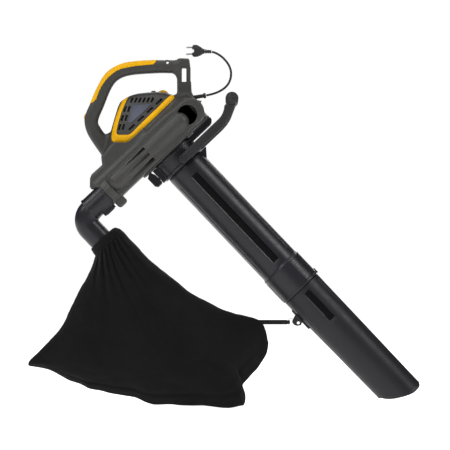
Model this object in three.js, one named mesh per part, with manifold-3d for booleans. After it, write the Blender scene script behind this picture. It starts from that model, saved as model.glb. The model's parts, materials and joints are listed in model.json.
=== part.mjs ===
// Leaf vacuum mulcher: electric motor housing with a top handle, scroll fan, straight suction
// tube in two lengths, side outlet with an elbow, and a fabric collecting bag.
// Millimetres, +Z up. The origin is the middle of the top handle's grip. X runs towards the
// nozzle, Y runs away from the side that carries the outlet.
import * as THREE from 'three';
import { mergeVertices } from 'three/addons/utils/BufferGeometryUtils.js';
import Module from 'manifold-3d';

const wasm = await Module();
wasm.setup();

// ---------------------------------------------------------------- driving dimensions
const TILT = THREE.MathUtils.degToRad(46.5); // the tube axis points this far below the level
const AXIS_DROP = 137; // square distance from the grip centre to the fan and tube axis
const GAP = 0.3; // clearance between neighbouring pieces
const WALL = 3; // housing wall
const HANDLE_HALF = 18; // half width of the handle
const HANDLE_CORE = 12; // half width of the hollow in the handle
const PAD_HALF = 15; // half width of the soft grip strip
const VOLUTE_BACK = 116; // fan scroll, along the tube axis
const VOLUTE_FRONT = 199;
const COVER_FRONT = 202.5;
const COLLAR_BACK = 206;
const COLLAR_FRONT = 253;
const COLLAR_RADIUS = 67;
const INTAKE_RADIUS = 54;
const TUBE_RADIUS = 59.5;
const TUBE_WALL = 2.5;
const SPIGOT_RADIUS = 57.5; // the reduced end of a tube that sits in the next socket
const TUBE_START = 211;
const SOCKET_START = 638;
const SOCKET_END = 727;
const SOCKET_RADIUS = 62.8;
const LOWER_START = 672;
const NOZZLE_END = 1153;
const OUTLET_A = 166; // outlet axis along the tube axis direction
const OUTLET_Y = -75; // and across the machine
const OUTLET_RADIUS = 30;
const OUTLET_END = -193; // lower face of the outlet duct
const SLEEVE_END = -277;
const SLEEVE_RADIUS = 34.5;
const ELBOW_RADIUS = 33;
const ELBOW_PIVOT = [203.5, -275]; // the mitred inner corner of the elbow
const ELBOW_REACH = 34.5; // from that corner to the middle of the pipe
const ELBOW_END = 262;
const FAN_RADIUS = 88;
const MOTOR_RADIUS = 44;
const SHAFT_RADIUS = 5;

// ---------------------------------------------------------------- colours and materials
function finish(color, roughness, metalness = 0) {
  return new THREE.MeshStandardMaterial({ color, roughness, metalness });
}
const GREY = finish(0x464644, 0.55);
const YELLOW = finish(0xf0af0a, 0.5);
const BLACK = finish(0x1c1c20, 0.35);
const DARK = finish(0x2a2a2c, 0.6);
const PLATE = finish(0x464b5a, 0.45);
const FABRIC = finish(0x161618, 0.9);
const RUBBER = finish(0x181818, 0.8);
const STEEL = finish(0xb8bcc0, 0.3, 1);
const COPPER = finish(0xb87333, 0.4, 1);

// ---------------------------------------------------------------- solids
function solid(geometry) {
  const bare = geometry.index ? geometry.toNonIndexed() : geometry.clone();
  bare.deleteAttribute('normal');
  bare.deleteAttribute('uv');
  const merged = mergeVertices(bare, 1e-3);
  return new wasm.Manifold(new wasm.Mesh({
    numProp: 3,
    vertProperties: new Float32Array(merged.attributes.position.array),
    triVerts: new Uint32Array(merged.index.array),
  }));
}

function geometryOf(body) {
  const mesh = body.getMesh();
  const geometry = new THREE.BufferGeometry();
  geometry.setAttribute('position', new THREE.BufferAttribute(mesh.vertProperties, 3));
  geometry.setIndex(new THREE.BufferAttribute(mesh.triVerts, 1));
  return geometry;
}

function union(...bodies) {
  return bodies.reduce((whole, next) => whole.add(next));
}

function cut(body, ...tools) {
  return tools.reduce((left, tool) => left.subtract(tool), body);
}

// A shape in X and Z, extruded across the machine from yFrom to yTo.
function across(shape, yFrom, yTo, bevel = 0, segments = 2) {
  const geometry = new THREE.ExtrudeGeometry(shape, {
    depth: yTo - yFrom - 2 * bevel,
    bevelEnabled: bevel > 0,
    bevelThickness: bevel,
    bevelSize: bevel,
    bevelOffset: -bevel,
    bevelSegments: 2,
    curveSegments: segments,
  });
  geometry.rotateX(Math.PI / 2);
  geometry.translate(0, yTo - bevel, 0);
  return solid(geometry);
}

// A shape in Y and Z, extruded along the tube axis.
const ALONG = new THREE.Matrix4().makeBasis(
  new THREE.Vector3(0, 1, 0),
  new THREE.Vector3(0, 0, 1),
  new THREE.Vector3(1, 0, 0),
);
function along(shape, from, to, segments = 6) {
  const geometry = new THREE.ExtrudeGeometry(shape, {
    depth: to - from,
    bevelEnabled: false,
    curveSegments: segments,
  });
  geometry.applyMatrix4(ALONG);
  geometry.translate(from, 0, 0);
  return solid(geometry);
}

function polygon(points) {
  return new THREE.Shape(points.map(([x, z]) => new THREE.Vector2(x, z)));
}

function box(from, to) {
  const size = to.map((high, i) => high - from[i]);
  const geometry = new THREE.BoxGeometry(...size);
  geometry.translate(...from.map((low, i) => low + size[i] / 2));
  return solid(geometry);
}

// A round piece between two points, with its own radius at each end.
function rod(start, end, radius, endRadius = radius, sides = 16) {
  const from = new THREE.Vector3(...start);
  const to = new THREE.Vector3(...end);
  const geometry = new THREE.CylinderGeometry(endRadius, radius, from.distanceTo(to), sides);
  const turn = new THREE.Quaternion().setFromUnitVectors(
    new THREE.Vector3(0, 1, 0),
    to.clone().sub(from).normalize(),
  );
  geometry.applyQuaternion(turn);
  geometry.translate(...from.add(to).multiplyScalar(0.5).toArray());
  return solid(geometry);
}

// A closed skin over a row of rings that all have the same number of points.
function loft(rings) {
  const count = rings[0].length;
  const positions = rings.flat().flatMap((p) => [p.x, p.y, p.z]);
  const middle = (ring) => ring
    .reduce((sum, p) => sum.add(p), new THREE.Vector3())
    .multiplyScalar(1 / count);
  const first = positions.length / 3;
  positions.push(...middle(rings[0]).toArray(), ...middle(rings.at(-1)).toArray());
  const index = [];
  for (let r = 0; r < rings.length - 1; r += 1) {
    for (let i = 0; i < count; i += 1) {
      const here = r * count + i;
      const next = r * count + ((i + 1) % count);
      index.push(here, next, next + count, here, next + count, here + count);
    }
  }
  const last = (rings.length - 1) * count;
  for (let i = 0; i < count; i += 1) {
    index.push((i + 1) % count, i, first);
    index.push(last + i, last + ((i + 1) % count), first + 1);
  }
  const geometry = new THREE.BufferGeometry();
  geometry.setAttribute('position', new THREE.Float32BufferAttribute(positions, 3));
  geometry.setIndex(index);
  return solid(geometry);
}

// An ellipse square to the tube axis, wound so that a loft towards +X faces outwards.
function ellipse(at, halfWidth, halfHeight, height = 0, sides = 20, y = 0) {
  return Array.from({ length: sides }, (_, i) => {
    const angle = (2 * Math.PI * i) / sides;
    return new THREE.Vector3(
      at,
      y + halfWidth * Math.cos(angle),
      height + halfHeight * Math.sin(angle),
    );
  });
}

function drum(from, to, radius, sides = 24, height = 0) {
  return loft([
    ellipse(from, radius, radius, height, sides),
    ellipse(to, radius, radius, height, sides),
  ]);
}

function ring(from, to, outer, inner, sides = 24) {
  return cut(drum(from, to, outer, sides), drum(from - 1, to + 1, inner, sides));
}

// Points moved square to an open line, to the left of its direction.
function shifted(points, distance) {
  return points.map(([x, z], i) => {
    const [xa, za] = points[Math.max(i - 1, 0)];
    const [xb, zb] = points[Math.min(i + 1, points.length - 1)];
    const length = Math.hypot(xb - xa, zb - za);
    return [x - (distance * (zb - za)) / length, z + (distance * (xb - xa)) / length];
  });
}

// The same for a closed outline that runs anticlockwise: outwards where the distance is positive.
function grown(points, distance) {
  const count = points.length;
  return points.map(([x, z], i) => {
    const [xa, za] = points[(i + count - 1) % count];
    const [xb, zb] = points[(i + 1) % count];
    const length = Math.hypot(xb - xa, zb - za);
    return [x + (distance * (zb - za)) / length, z - (distance * (xb - xa)) / length];
  });
}

// ---------------------------------------------------------------- frames
const machine = new THREE.Group();
machine.rotation.y = TILT;
machine.position.set(-AXIS_DROP * Math.sin(TILT), 0, -AXIS_DROP * Math.cos(TILT));
machine.updateMatrix();
const INTO_MACHINE = machine.matrix.clone().invert();

function toMachine(body) {
  return body.transform(INTO_MACHINE.toArray());
}

const assembly = new THREE.Group();
assembly.add(machine);

// The largest of the bodies that a cut leaves; the rest are slivers.
function largest(body) {
  return body.decompose().reduce((best, next) => (next.volume() > best.volume() ? next : best));
}

function place(group, name, body, material) {
  const mesh = new THREE.Mesh(geometryOf(largest(body)), material);
  mesh.name = name;
  group.add(mesh);
}

// ---------------------------------------------------------------- body form
// Rings of the motor housing: place along the axis, top, bottom, half width.
const BODY_RINGS = [
  [3, 2, -8, 6],
  [9, 27, -24, 24],
  [24, 52, -56, 42],
  [44, 80, -92, 56],
  [70, 106, -126, 65],
  [98, 118, -158, 74],
  [124, 140, -172, 88],
];
function bodyForm(grow) {
  return loft(BODY_RINGS.map(([a, top, bottom, half], i) => ellipse(
    a + (i === 0 ? -grow : 0),
    half + grow,
    (top - bottom) / 2 + grow,
    (top + bottom) / 2,
  )));
}

// The scroll round the fan: widest above, where the air has gathered, tight below.
function voluteShape(grow) {
  const shape = new THREE.Shape();
  const steps = 24;
  const points = Array.from({ length: steps }, (_, i) => {
    const angle = -Math.PI / 2 + (2 * Math.PI * i) / steps;
    const turned = i / steps;
    const radius = 106 + 42 * Math.sin(Math.PI * turned) + grow;
    const squash = 0.86;
    return new THREE.Vector2(squash * radius * Math.cos(angle), radius * Math.sin(angle));
  });
  shape.setFromPoints(points);
  return shape;
}

function outletPipe(radius, from, to, sides = 20) {
  return rod([OUTLET_A, OUTLET_Y, from], [OUTLET_A, OUTLET_Y, to], radius, radius, sides);
}

function outletDuct(grow) {
  const dome = new THREE.SphereGeometry(OUTLET_RADIUS + grow, 16, 8);
  dome.translate(OUTLET_A - 3, OUTLET_Y, 70);
  return union(
    outletPipe(OUTLET_RADIUS + grow, OUTLET_END - (grow < 0 ? 2 : 0), 70),
    solid(dome),
  );
}

// ---------------------------------------------------------------- handle
const HANDLE_OUTER = [
  [-5, 16], [-60, 13], [-105, 4], [-143, -20], [-168, -60], [-187, -103],
  [-201, -135], [-204, -160], [-192, -197], [-152, -256],
];
const HANDLE_INNER = [
  [-137, -188], [-147, -188], [-162, -168], [-165, -150], [-146, -100], [-128, -58],
  [-108, -37], [-70, -25], [0, -20], [40, -20],
];
const POST = { left: 55, right: 92, top: 20, foot: -112 };

function handleShape(inset = 0) {
  const outer = shifted(HANDLE_OUTER, -inset).map(([x, z]) => new THREE.Vector2(x, z));
  const inner = shifted(HANDLE_INNER, -inset).map(([x, z]) => new THREE.Vector2(x, z));
  outer.shift();
  inner.shift();
  const shape = new THREE.Shape();
  shape.moveTo(POST.right - inset, POST.foot);
  shape.lineTo(POST.right - inset, POST.top - inset);
  shape.lineTo(POST.left + 2, POST.top - inset);
  shape.lineTo(-5, 16 - inset);
  shape.splineThru(outer);
  shape.lineTo(-100, -250);
  shape.lineTo(-100, -194);
  shape.lineTo(-140, -190 - inset);
  shape.splineThru(inner);
  shape.quadraticCurveTo(POST.left + inset, -20 + inset, POST.left + inset, -36);
  shape.lineTo(POST.left + inset, POST.foot);
  return shape;
}

const WINDOW = { left: 68, right: 80.5, top: -6, bottom: -45 };
const EYE = { x: 28, z: 9, radius: 4 };
const INSERT = { left: 82.5, right: 92, top: -3, bottom: -43 };

// Strip of soft grip along the outer edge, from behind the bend to the middle of the top bar.
const PAD_LINE = [
  [-178, -101], [-160, -65], [-143, -41], [-120, -19], [-92, -7], [-50, -1], [-12, 3],
];
const PAD_OUTER = [
  [-2, 16.3], [-60, 13.4], [-105, 4.4], [-143, -19.6], [-168, -59.6], [-187, -104],
];
function padShape(grow) {
  const outline = grown([...PAD_LINE, ...PAD_OUTER], grow);
  const frontEnd = [PAD_LINE.length - 1, PAD_LINE.length];
  const rearEnd = [0, outline.length - 1];
  frontEnd.forEach((i) => { outline[i][0] += 1.5 * grow; });
  rearEnd.forEach((i) => { outline[i][1] -= 1.5 * grow; });
  return polygon(outline);
}

// ---------------------------------------------------------------- vents in the motor housing
// Outlines on the side of the motor housing, in the upright frame.
const TRIM_OUTER = [
  [-96, -94], [-110, -128], [-126, -182], [-128, -203], [-119, -217], [-82, -217],
  [-60, -200], [0, -142], [41, -102], [49, -88], [40, -78],
];
const TRIM_INNER = [
  [30, -88], [0, -122], [-40, -160], [-68, -190], [-80, -196], [-104, -196],
  [-112, -188], [-106, -158], [-84, -96],
];
const GRILLE = [
  [-78, -93], [-102, -156], [-109, -186], [-103, -192], [-81, -192.5], [-70, -187],
  [-42, -158], [-2, -120], [22, -95], [0, -84], [-40, -84],
];
const BADGE = [[-66, -113], [-18, -111], [-42, -137], [-70, -161], [-80, -161]];

function slotShape(x1, z1, x2, z2, half = 2.2) {
  const length = Math.hypot(x2 - x1, z2 - z1);
  const nx = (-(z2 - z1) / length) * half;
  const nz = ((x2 - x1) / length) * half;
  return polygon([
    [x1 + nx, z1 + nz], [x1 - nx, z1 - nz], [x2 - nx, z2 - nz], [x2 + nx, z2 + nz],
  ]);
}
const TOP_SLOTS = [0, 1, 2, 3, 4, 5].map((i) => [-72 + 11 * i, -104, -66 + 11 * i, -92]);
const SIDE_SLOTS = [0, 1, 2].flatMap((i) => [
  [-90 - 7 * i, -131 - 25 * i, -85 - 7 * i, -115 - 25 * i],
  [-80 - 7 * i, -131 - 25 * i, -75 - 7 * i, -115 - 25 * i],
]);
const ARM_SLOTS = [0, 1, 2, 3].map((i) => [
  -2 - 24 * i, -109 - 23 * i, 14 - 24 * i, -94 - 23 * i,
]);
const SLOTS = [...TOP_SLOTS, ...SIDE_SLOTS, ...ARM_SLOTS];

// A curved panel: the part of the housing's skin, between two offsets, inside an outline.
function skinPanel(shape, low, high, side) {
  const reach = toMachine(side < 0 ? across(shape, -120, -14) : across(shape, 14, 120));
  return cut(bodyForm(high), bodyForm(low)).intersect(reach);
}

// ---------------------------------------------------------------- housing shells
const ROCKER = { x: -199.5, z: -144, halfLength: 14, halfWidth: 7 };
const DIAL = { x: 15, z: -85, radius: 18, halfWidth: 4 };
const RELIEF_START = [82, 0, -90.9];
const RELIEF_END = [136, 0, -82.3];
const SCREWS = [[-193, -172], [-95, -13], [-152, -222], [74, -76]];

function trimSolid(side, grow) {
  return skinPanel(polygon([...TRIM_OUTER, ...TRIM_INNER]), -2 - grow, 2.5 + grow, side);
}

function housing() {
  const handle = toMachine(across(handleShape(), -HANDLE_HALF, HANDLE_HALF, 5, 2));
  const core = across(handleShape(7), -HANDLE_CORE, HANDLE_CORE, 0, 1);
  const hollowHandle = toMachine(cut(core, box([50, -20, -64], [120, 20, 40])));
  const volute = along(voluteShape(0), VOLUTE_BACK, VOLUTE_FRONT);
  const volutePocket = along(voluteShape(-WALL), VOLUTE_BACK + WALL, VOLUTE_FRONT + 5);
  const shoulder = across(polygon([
    [70, -120], [99, -164], [98, -203], [103, -214], [120, -231], [128, -231], [140, -120],
  ]), -100, -50);
  const knob = across(polygon([
    [190, -175], [212, -181], [219, -186], [221, -193], [219, -201], [209, -212], [190, -212],
  ]), -90, -60);
  const flange = outletPipe(38, OUTLET_END - 16, OUTLET_END + 10);
  const outside = union(
    bodyForm(0), volute, outletDuct(0), shoulder, knob, flange, handle,
  );
  const inside = union(
    bodyForm(-WALL), volutePocket, outletDuct(-WALL), hollowHandle,
    outletPipe(OUTLET_RADIUS - WALL, OUTLET_END - 30, 0),
    outletPipe(SLEEVE_RADIUS + GAP, OUTLET_END - 30, OUTLET_END - 4),
  );
  const upright = [
    across(polygon([
      [WINDOW.left, WINDOW.bottom], [WINDOW.right, WINDOW.bottom],
      [WINDOW.right, WINDOW.top], [WINDOW.left, WINDOW.top],
    ]), -40, 40),
    rod([EYE.x, -40, EYE.z], [EYE.x, 40, EYE.z], EYE.radius, EYE.radius, 12),
    box([INSERT.left - GAP, -14 - GAP, INSERT.bottom - GAP], [120, 14 + GAP, INSERT.top + GAP]),
    across(padShape(1.5 * GAP), -PAD_HALF - GAP, PAD_HALF + GAP),
    box(
      [ROCKER.x - 20, -ROCKER.halfWidth - GAP, ROCKER.z - ROCKER.halfLength - 1.5],
      [ROCKER.x + 22, ROCKER.halfWidth + GAP, ROCKER.z + ROCKER.halfLength + 1.5],
    ),
    rod(
      [DIAL.x, -DIAL.halfWidth - 0.5, DIAL.z],
      [DIAL.x, DIAL.halfWidth + 0.5, DIAL.z],
      DIAL.radius + 0.8, DIAL.radius + 0.8, 24,
    ),
    rod([70, 0, -92.8], [120, 0, -84.9], 6.8, 6.8, 12),
    ...SCREWS.map(([x, z]) => rod([x, -12, z], [x, 30, z], 2.1, 2.1, 8)),
    ...SCREWS.map(([x, z]) => rod([x, HANDLE_HALF - 4, z], [x, 40, z], 5, 5, 10)),
  ].map(toMachine);
  const vents = [-1, 1].flatMap((side) => [
    toMachine(side < 0 ? across(polygon(GRILLE), -120, -14) : across(polygon(GRILLE), 14, 120)),
    trimSolid(side, GAP),
  ]);
  return cut(outside, inside, ...upright, ...vents);
}

function makeHousing() {
  const whole = housing();
  const big = 1500;
  const left = whole.intersect(box([-big, -big, -big], [big, -GAP / 2, big]));
  const right = whole.intersect(box([-big, GAP / 2, -big], [big, big, big]));
  place(machine, 'housing_left_shell', left, GREY);
  place(machine, 'housing_right_shell', right, GREY);
}

// ---------------------------------------------------------------- housing trim and grip
function makeTrim(label, side) {
  place(machine, `vent_trim_${label}`, trimSolid(side, 0), YELLOW);
  const window = polygon(grown(GRILLE, -2 * GAP));
  const slots = SLOTS.map((line) => toMachine(across(slotShape(...line), -130, 130)));
  const badge = skinPanel(polygon(BADGE), 0.3, 1.8, side);
  const trim = trimSolid(side, GAP);
  const grille = skinPanel(window, -WALL, 0, side);
  place(machine, `vent_grille_${label}`, cut(grille, trim, ...slots), DARK);
  place(machine, `side_plate_${label}`, cut(badge, trim), PLATE);
}

function makeGripPad() {
  const pad = across(padShape(0), -PAD_HALF, PAD_HALF);
  const rounded = across(handleShape(), -HANDLE_HALF, HANDLE_HALF, 5, 2);
  const outer = across(padShape(GAP), -PAD_HALF, PAD_HALF);
  place(assembly, 'handle_grip_pad', pad.intersect(union(rounded, outer)), YELLOW);
}

function makePostInsert() {
  const body = box([INSERT.left, -14, INSERT.bottom], [INSERT.right - 0.2, 14, INSERT.top]);
  const groove = box([INSERT.left - 1, -20, -38], [INSERT.left + 3, 20, -35]);
  place(assembly, 'post_insert', cut(body, groove), DARK);
}

// ---------------------------------------------------------------- switches
function makeSwitches() {
  const { x, z, halfLength, halfWidth } = ROCKER;
  const cap = rod([x + 8, -halfWidth, z], [x + 8, halfWidth, z], halfLength, halfLength, 24);
  const keep = box([x - 8, -halfWidth, z - halfLength], [x + 8, halfWidth, z + halfLength]);
  place(assembly, 'power_rocker', cap.intersect(keep), YELLOW);
  place(assembly, 'switch_module', box([x + 10, -6, z - 13], [x + 21.5, 6, z + 13]), DARK);
  const wheel = rod(
    [DIAL.x, -DIAL.halfWidth, DIAL.z],
    [DIAL.x, DIAL.halfWidth, DIAL.z],
    DIAL.radius, DIAL.radius, 20,
  );
  const axle = rod([DIAL.x, -8, DIAL.z], [DIAL.x, 8, DIAL.z], 2.2, 2.2, 10);
  place(assembly, 'speed_dial', cut(wheel, axle), YELLOW);
  const board = box([DIAL.x - 14, 8.2, DIAL.z - 24], [DIAL.x + 14, 14, DIAL.z - 2]);
  const stub = rod([DIAL.x, -6, DIAL.z], [DIAL.x, 9, DIAL.z], 1.9, 1.9, 10);
  place(assembly, 'speed_control_board', union(board, stub), DARK);
}

// ---------------------------------------------------------------- motor
const MOTOR_BACK = 42;
const MOTOR_FRONT = 92;
const PLATE_BACK = 104;
const PLATE_FRONT = 110;

function makeMotor() {
  place(machine, 'motor_stator', ring(MOTOR_BACK, MOTOR_FRONT, MOTOR_RADIUS, 27, 16), STEEL);
  const core = union(drum(MOTOR_BACK + 2, MOTOR_FRONT - 2, 26, 16), drum(36, 98, 19, 16));
  const bore = drum(30, 100, SHAFT_RADIUS + 0.05, 12);
  place(machine, 'armature', cut(core, bore), COPPER);
  const hole = drum(20, 36, SHAFT_RADIUS + 0.05, 12);
  place(machine, 'commutator', cut(drum(22, 34, 13, 16), hole), COPPER);
  for (const [label, side] of [['upper', 1], ['lower', -1]]) {
    const low = side < 0 ? -27 : 13.3;
    const brush = box([24, -4, low], [32, 4, low + 13.7]);
    place(machine, `carbon_brush_${label}`, brush, RUBBER);
    const tube = cut(
      box([21, -7, side < 0 ? -31 : 16], [35, 7, side < 0 ? -16 : 31]),
      box([23.7, -4.3, side < 0 ? -28 : 10], [32.3, 4.3, side < 0 ? -10 : 28]),
    );
    place(machine, `brush_holder_${label}`, tube, DARK);
  }
  place(machine, 'rear_bearing', ring(12, 19, 11, SHAFT_RADIUS + 0.1, 16), STEEL);
  const frontBearing = ring(PLATE_BACK, PLATE_FRONT, 14, SHAFT_RADIUS + 0.1, 16);
  place(machine, 'front_bearing', frontBearing, STEEL);
  place(machine, 'motor_shaft', union(
    drum(10, 192, SHAFT_RADIUS, 12),
    drum(192, 206, 3.8, 12),
  ), STEEL);
  place(machine, 'motor_mount_plate', ring(PLATE_BACK, PLATE_FRONT, 62, 14.3, 24), DARK);
}

function makeFan() {
  const bore = drum(110, 210, SHAFT_RADIUS + 0.05, 12);
  const rim = union(
    drum(128, 131, FAN_RADIUS, 32),
    drum(122, 150, 15, 16),
  );
  const blades = Array.from({ length: 8 }, (_, i) => {
    const blade = box([130.5, 26, -1.5], [176, 84, 1.5]);
    return blade.rotate([18 + 45 * i, 0, 0]);
  });
  place(machine, 'impeller', cut(union(rim, ...blades), bore), DARK);
  const bladeBar = union(drum(186, 189, 14, 16), box([186, -50, -9], [189, 50, 9]));
  place(machine, 'shredder_blade', cut(bladeBar, bore), STEEL);
  place(machine, 'fan_spacer', cut(drum(150.3, 185.7, 11, 16), bore), STEEL);
  place(machine, 'fan_nut', cut(drum(192.4, 199, 8.5, 6), drum(190, 202, 3.85, 12)), STEEL);
}

// ---------------------------------------------------------------- fan cover and collar
function makeCover() {
  const plate = along(voluteShape(0), VOLUTE_FRONT + GAP, COVER_FRONT);
  const neck = drum(VOLUTE_FRONT + GAP, COLLAR_BACK - GAP, 62);
  const hole = drum(VOLUTE_FRONT - 5, COLLAR_BACK + 5, INTAKE_RADIUS);
  const pad = box([VOLUTE_FRONT + GAP, -20, 82], [COLLAR_BACK - GAP, 20, 144]);
  place(machine, 'fan_cover', cut(union(plate, neck, pad), hole), DARK);
}

const LATCH = { back: 203, front: 248, top: -77, bottom: -100, halfWidth: 24 };

function makeCollar() {
  const lug = polygon([[-20, 40], [20, 40], [20, 140], [14, 146], [-14, 146], [-20, 140]]);
  const base = union(
    drum(COLLAR_BACK, COLLAR_FRONT, COLLAR_RADIUS, 32),
    box([COLLAR_BACK, -30, -76], [COLLAR_FRONT - 3, 30, -40]),
    along(lug, COLLAR_BACK, COLLAR_BACK + 16),
  );
  const bore = drum(COLLAR_BACK - 1, COLLAR_FRONT + 1, SPIGOT_RADIUS + GAP + 0.2, 32);
  const slot = box([228, -10.5, -80], [246.5, 10.5, -40]);
  place(machine, 'tube_collar', cut(base, bore, slot), BLACK);
}

function makeLatch() {
  const { back, front, top, bottom, halfWidth } = LATCH;
  const shape = polygon([
    [back + 14, top], [back + 1, top - 6], [back, top - 9], [back + 8, bottom],
    [front - 7, bottom], [front, bottom + 6], [front, top - 4], [front - 4, top],
  ]);
  const lever = across(shape, -halfWidth, halfWidth);
  const tooth = box([229, -10, top - 2], [236, 10, -62]);
  place(machine, 'tube_latch', union(lever, tooth), BLACK);
}

const ARM = { inner: 71, outer: 81 };
const BAR = { a: 212, h: 223, radius: 18 };
const PIVOT = { a: 240.5, h: 12 }; // screw that holds each arm to the collar

function makeAuxHandle() {
  const shape = new THREE.Shape();
  shape.moveTo(228, 6);
  shape.lineTo(228, 157);
  shape.quadraticCurveTo(226, 178, 212, 194);
  shape.lineTo(212, 208);
  shape.lineTo(226, 230);
  shape.quadraticCurveTo(236, 206, 247, 184);
  shape.quadraticCurveTo(252, 172, 253, 150);
  shape.lineTo(253, 6);
  shape.quadraticCurveTo(240.5, -8, 228, 6);
  for (const [label, side] of [['left', -1], ['right', 1]]) {
    const low = side < 0 ? -ARM.outer : ARM.inner;
    const arm = across(shape, low, low + ARM.outer - ARM.inner, 2, 4);
    const bore = BAR.radius + GAP;
    const grip = rod([BAR.a, -100, BAR.h], [BAR.a, 100, BAR.h], bore, bore, 20);
    const stud = rod([PIVOT.a, side * 66, PIVOT.h], [PIVOT.a, side * 90, PIVOT.h], 4.3, 4.3, 10);
    const boss = rod(
      [PIVOT.a, side * 62, PIVOT.h],
      [PIVOT.a, side * (ARM.inner + 3), PIVOT.h],
      10, 10, 12,
    );
    const collar = drum(COLLAR_BACK - 6, COLLAR_FRONT + 7, COLLAR_RADIUS + GAP, 32);
    const whole = cut(union(arm, boss), grip, stud, collar);
    place(machine, `aux_handle_arm_${label}`, whole, DARK);
    place(machine, `aux_handle_screw_${label}`, union(
      rod([PIVOT.a, side * 69, PIVOT.h], [PIVOT.a, side * (ARM.outer + 1), PIVOT.h], 3, 3, 10),
      rod(
        [PIVOT.a, side * (ARM.outer + GAP), PIVOT.h],
        [PIVOT.a, side * (ARM.outer + 4), PIVOT.h],
        7, 6, 12,
      ),
    ), STEEL);
  }
  place(machine, 'aux_grip_bar', rod(
    [BAR.a, -ARM.outer, BAR.h], [BAR.a, ARM.outer, BAR.h], BAR.radius, BAR.radius, 20,
  ), DARK);
}

// ---------------------------------------------------------------- suction tube
function hollow(rings, innerRings) {
  return cut(loft(rings), loft(innerRings));
}

function makeUpperTube() {
  const inner = SPIGOT_RADIUS - TUBE_WALL;
  const outer = [
    ellipse(TUBE_START, SPIGOT_RADIUS, SPIGOT_RADIUS),
    ellipse(COLLAR_FRONT + 1, SPIGOT_RADIUS, SPIGOT_RADIUS),
    ellipse(COLLAR_FRONT + 2, TUBE_RADIUS, TUBE_RADIUS),
    ellipse(SOCKET_START, TUBE_RADIUS, TUBE_RADIUS),
    ellipse(SOCKET_START + 8, SOCKET_RADIUS, SOCKET_RADIUS),
    ellipse(SOCKET_END, SOCKET_RADIUS, SOCKET_RADIUS),
  ];
  const bore = [
    ellipse(TUBE_START - 1, inner, inner),
    ellipse(LOWER_START - 6, inner, inner),
    ellipse(LOWER_START - 4, SPIGOT_RADIUS + 0.5, SPIGOT_RADIUS + 0.5),
    ellipse(SOCKET_END + 1, SPIGOT_RADIUS + 0.5, SPIGOT_RADIUS + 0.5),
  ];
  const rib = across(polygon([[256, 50], [256, 80], [283, 59], [283, 50]]), -4, 4);
  const button = box([711.5, -10.5, 50], [728, 10.5, 80]);
  const barrel = hollow(outer, bore);
  const ribOutside = cut(rib, drum(250, 290, TUBE_RADIUS - 1));
  place(machine, 'upper_tube', cut(union(barrel, ribOutside), button), BLACK);
  const pad = box([712, -10, SPIGOT_RADIUS + 3.6], [727.5, 10, 66.5]);
  place(machine, 'joint_button', pad, BLACK);
}

// The nozzle mouth is cut back on a curve, furthest at the bottom.
const MOUTH = [
  [1146, 75], [1146, 60], [1151, 54], [NOZZLE_END, 44], [1151, 26], [1144, 8],
  [1136, -8], [1126, -25], [1114, -40], [1100, -54], [1100, -75],
];

function makeLowerTube() {
  const inner = SPIGOT_RADIUS - TUBE_WALL;
  const outer = [
    ellipse(LOWER_START, SPIGOT_RADIUS, SPIGOT_RADIUS),
    ellipse(SOCKET_END + 1, SPIGOT_RADIUS, SPIGOT_RADIUS),
    ellipse(SOCKET_END + 2, TUBE_RADIUS + 1, TUBE_RADIUS + 1),
    ellipse(NOZZLE_END + 10, 56.5, 56.5, 3),
  ];
  const bore = [
    ellipse(LOWER_START - 1, inner, inner),
    ellipse(SOCKET_END + 20, inner, inner),
    ellipse(NOZZLE_END + 11, 54, 54, 3),
  ];
  const beyond = across(polygon([[1200, 75], ...MOUTH, [1200, -75]]), -80, 80);
  place(machine, 'lower_tube', cut(hollow(outer, bore), beyond), BLACK);
}

// ---------------------------------------------------------------- bag hook on the tube
const PIN = { a: 782.8, h: -79.8, radius: 2 };

function makeBracket() {
  const rail = polygon([[755, -60.8], [757, -63.5], [824, -63.5], [826, -60.8]]);
  const block = polygon([
    [770, -62], [774, -72], [777, -80], [781, -84], [790, -84], [797, -80], [803, -70],
    [800, -67], [799, -62],
  ]);
  const body = union(across(rail, -8, 8), across(block, -8, 8));
  const eye = rod([793, -20, -72], [793, 20, -72], 4.2, 4.2, 12);
  const slot = box([764, -2, -90], [794, 2, -69]);
  const pin = rod([PIN.a, -5, PIN.h], [PIN.a, 5, PIN.h], PIN.radius, PIN.radius, 10);
  const under = loft([
    ellipse(SOCKET_END + 2, TUBE_RADIUS + 1 + GAP, TUBE_RADIUS + 1 + GAP),
    ellipse(NOZZLE_END + 10, 56.5 + GAP, 56.5 + GAP, 3),
  ]);
  place(machine, 'strap_bracket', cut(union(cut(body, eye, slot), pin), under), BLACK);
}

// D-shaped wire ring that links the strap's end to the bracket's pin.
const RING = { bar: 367.2, x: 375.6, z: -717, radius: 9.4, wire: 1.1 };

function makeRing() {
  const at = (x, z) => new THREE.Vector3(x, 0, RING.z + z);
  const bar = [7, 3.5, 0, -3.5, -7].map((z) => at(RING.bar, z));
  const arc = Array.from({ length: 9 }, (_, i) => {
    const angle = -Math.PI / 2 + (Math.PI * i) / 8;
    return at(RING.x + RING.radius * Math.cos(angle), RING.radius * Math.sin(angle));
  });
  const corners = [at(RING.bar + 2, -9), at(RING.bar + 2, 9)];
  const round = new THREE.CatmullRomCurve3(
    [...bar, corners[0], ...arc, corners[1]], true, 'centripetal',
  );
  const section = new THREE.Shape().absarc(0, 0, RING.wire, 0, 2 * Math.PI, false);
  const geometry = new THREE.ExtrudeGeometry(section, {
    steps: 18, extrudePath: round, curveSegments: 3, bevelEnabled: false,
  });
  place(assembly, 'strap_ring', solid(geometry), STEEL);
}

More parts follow.
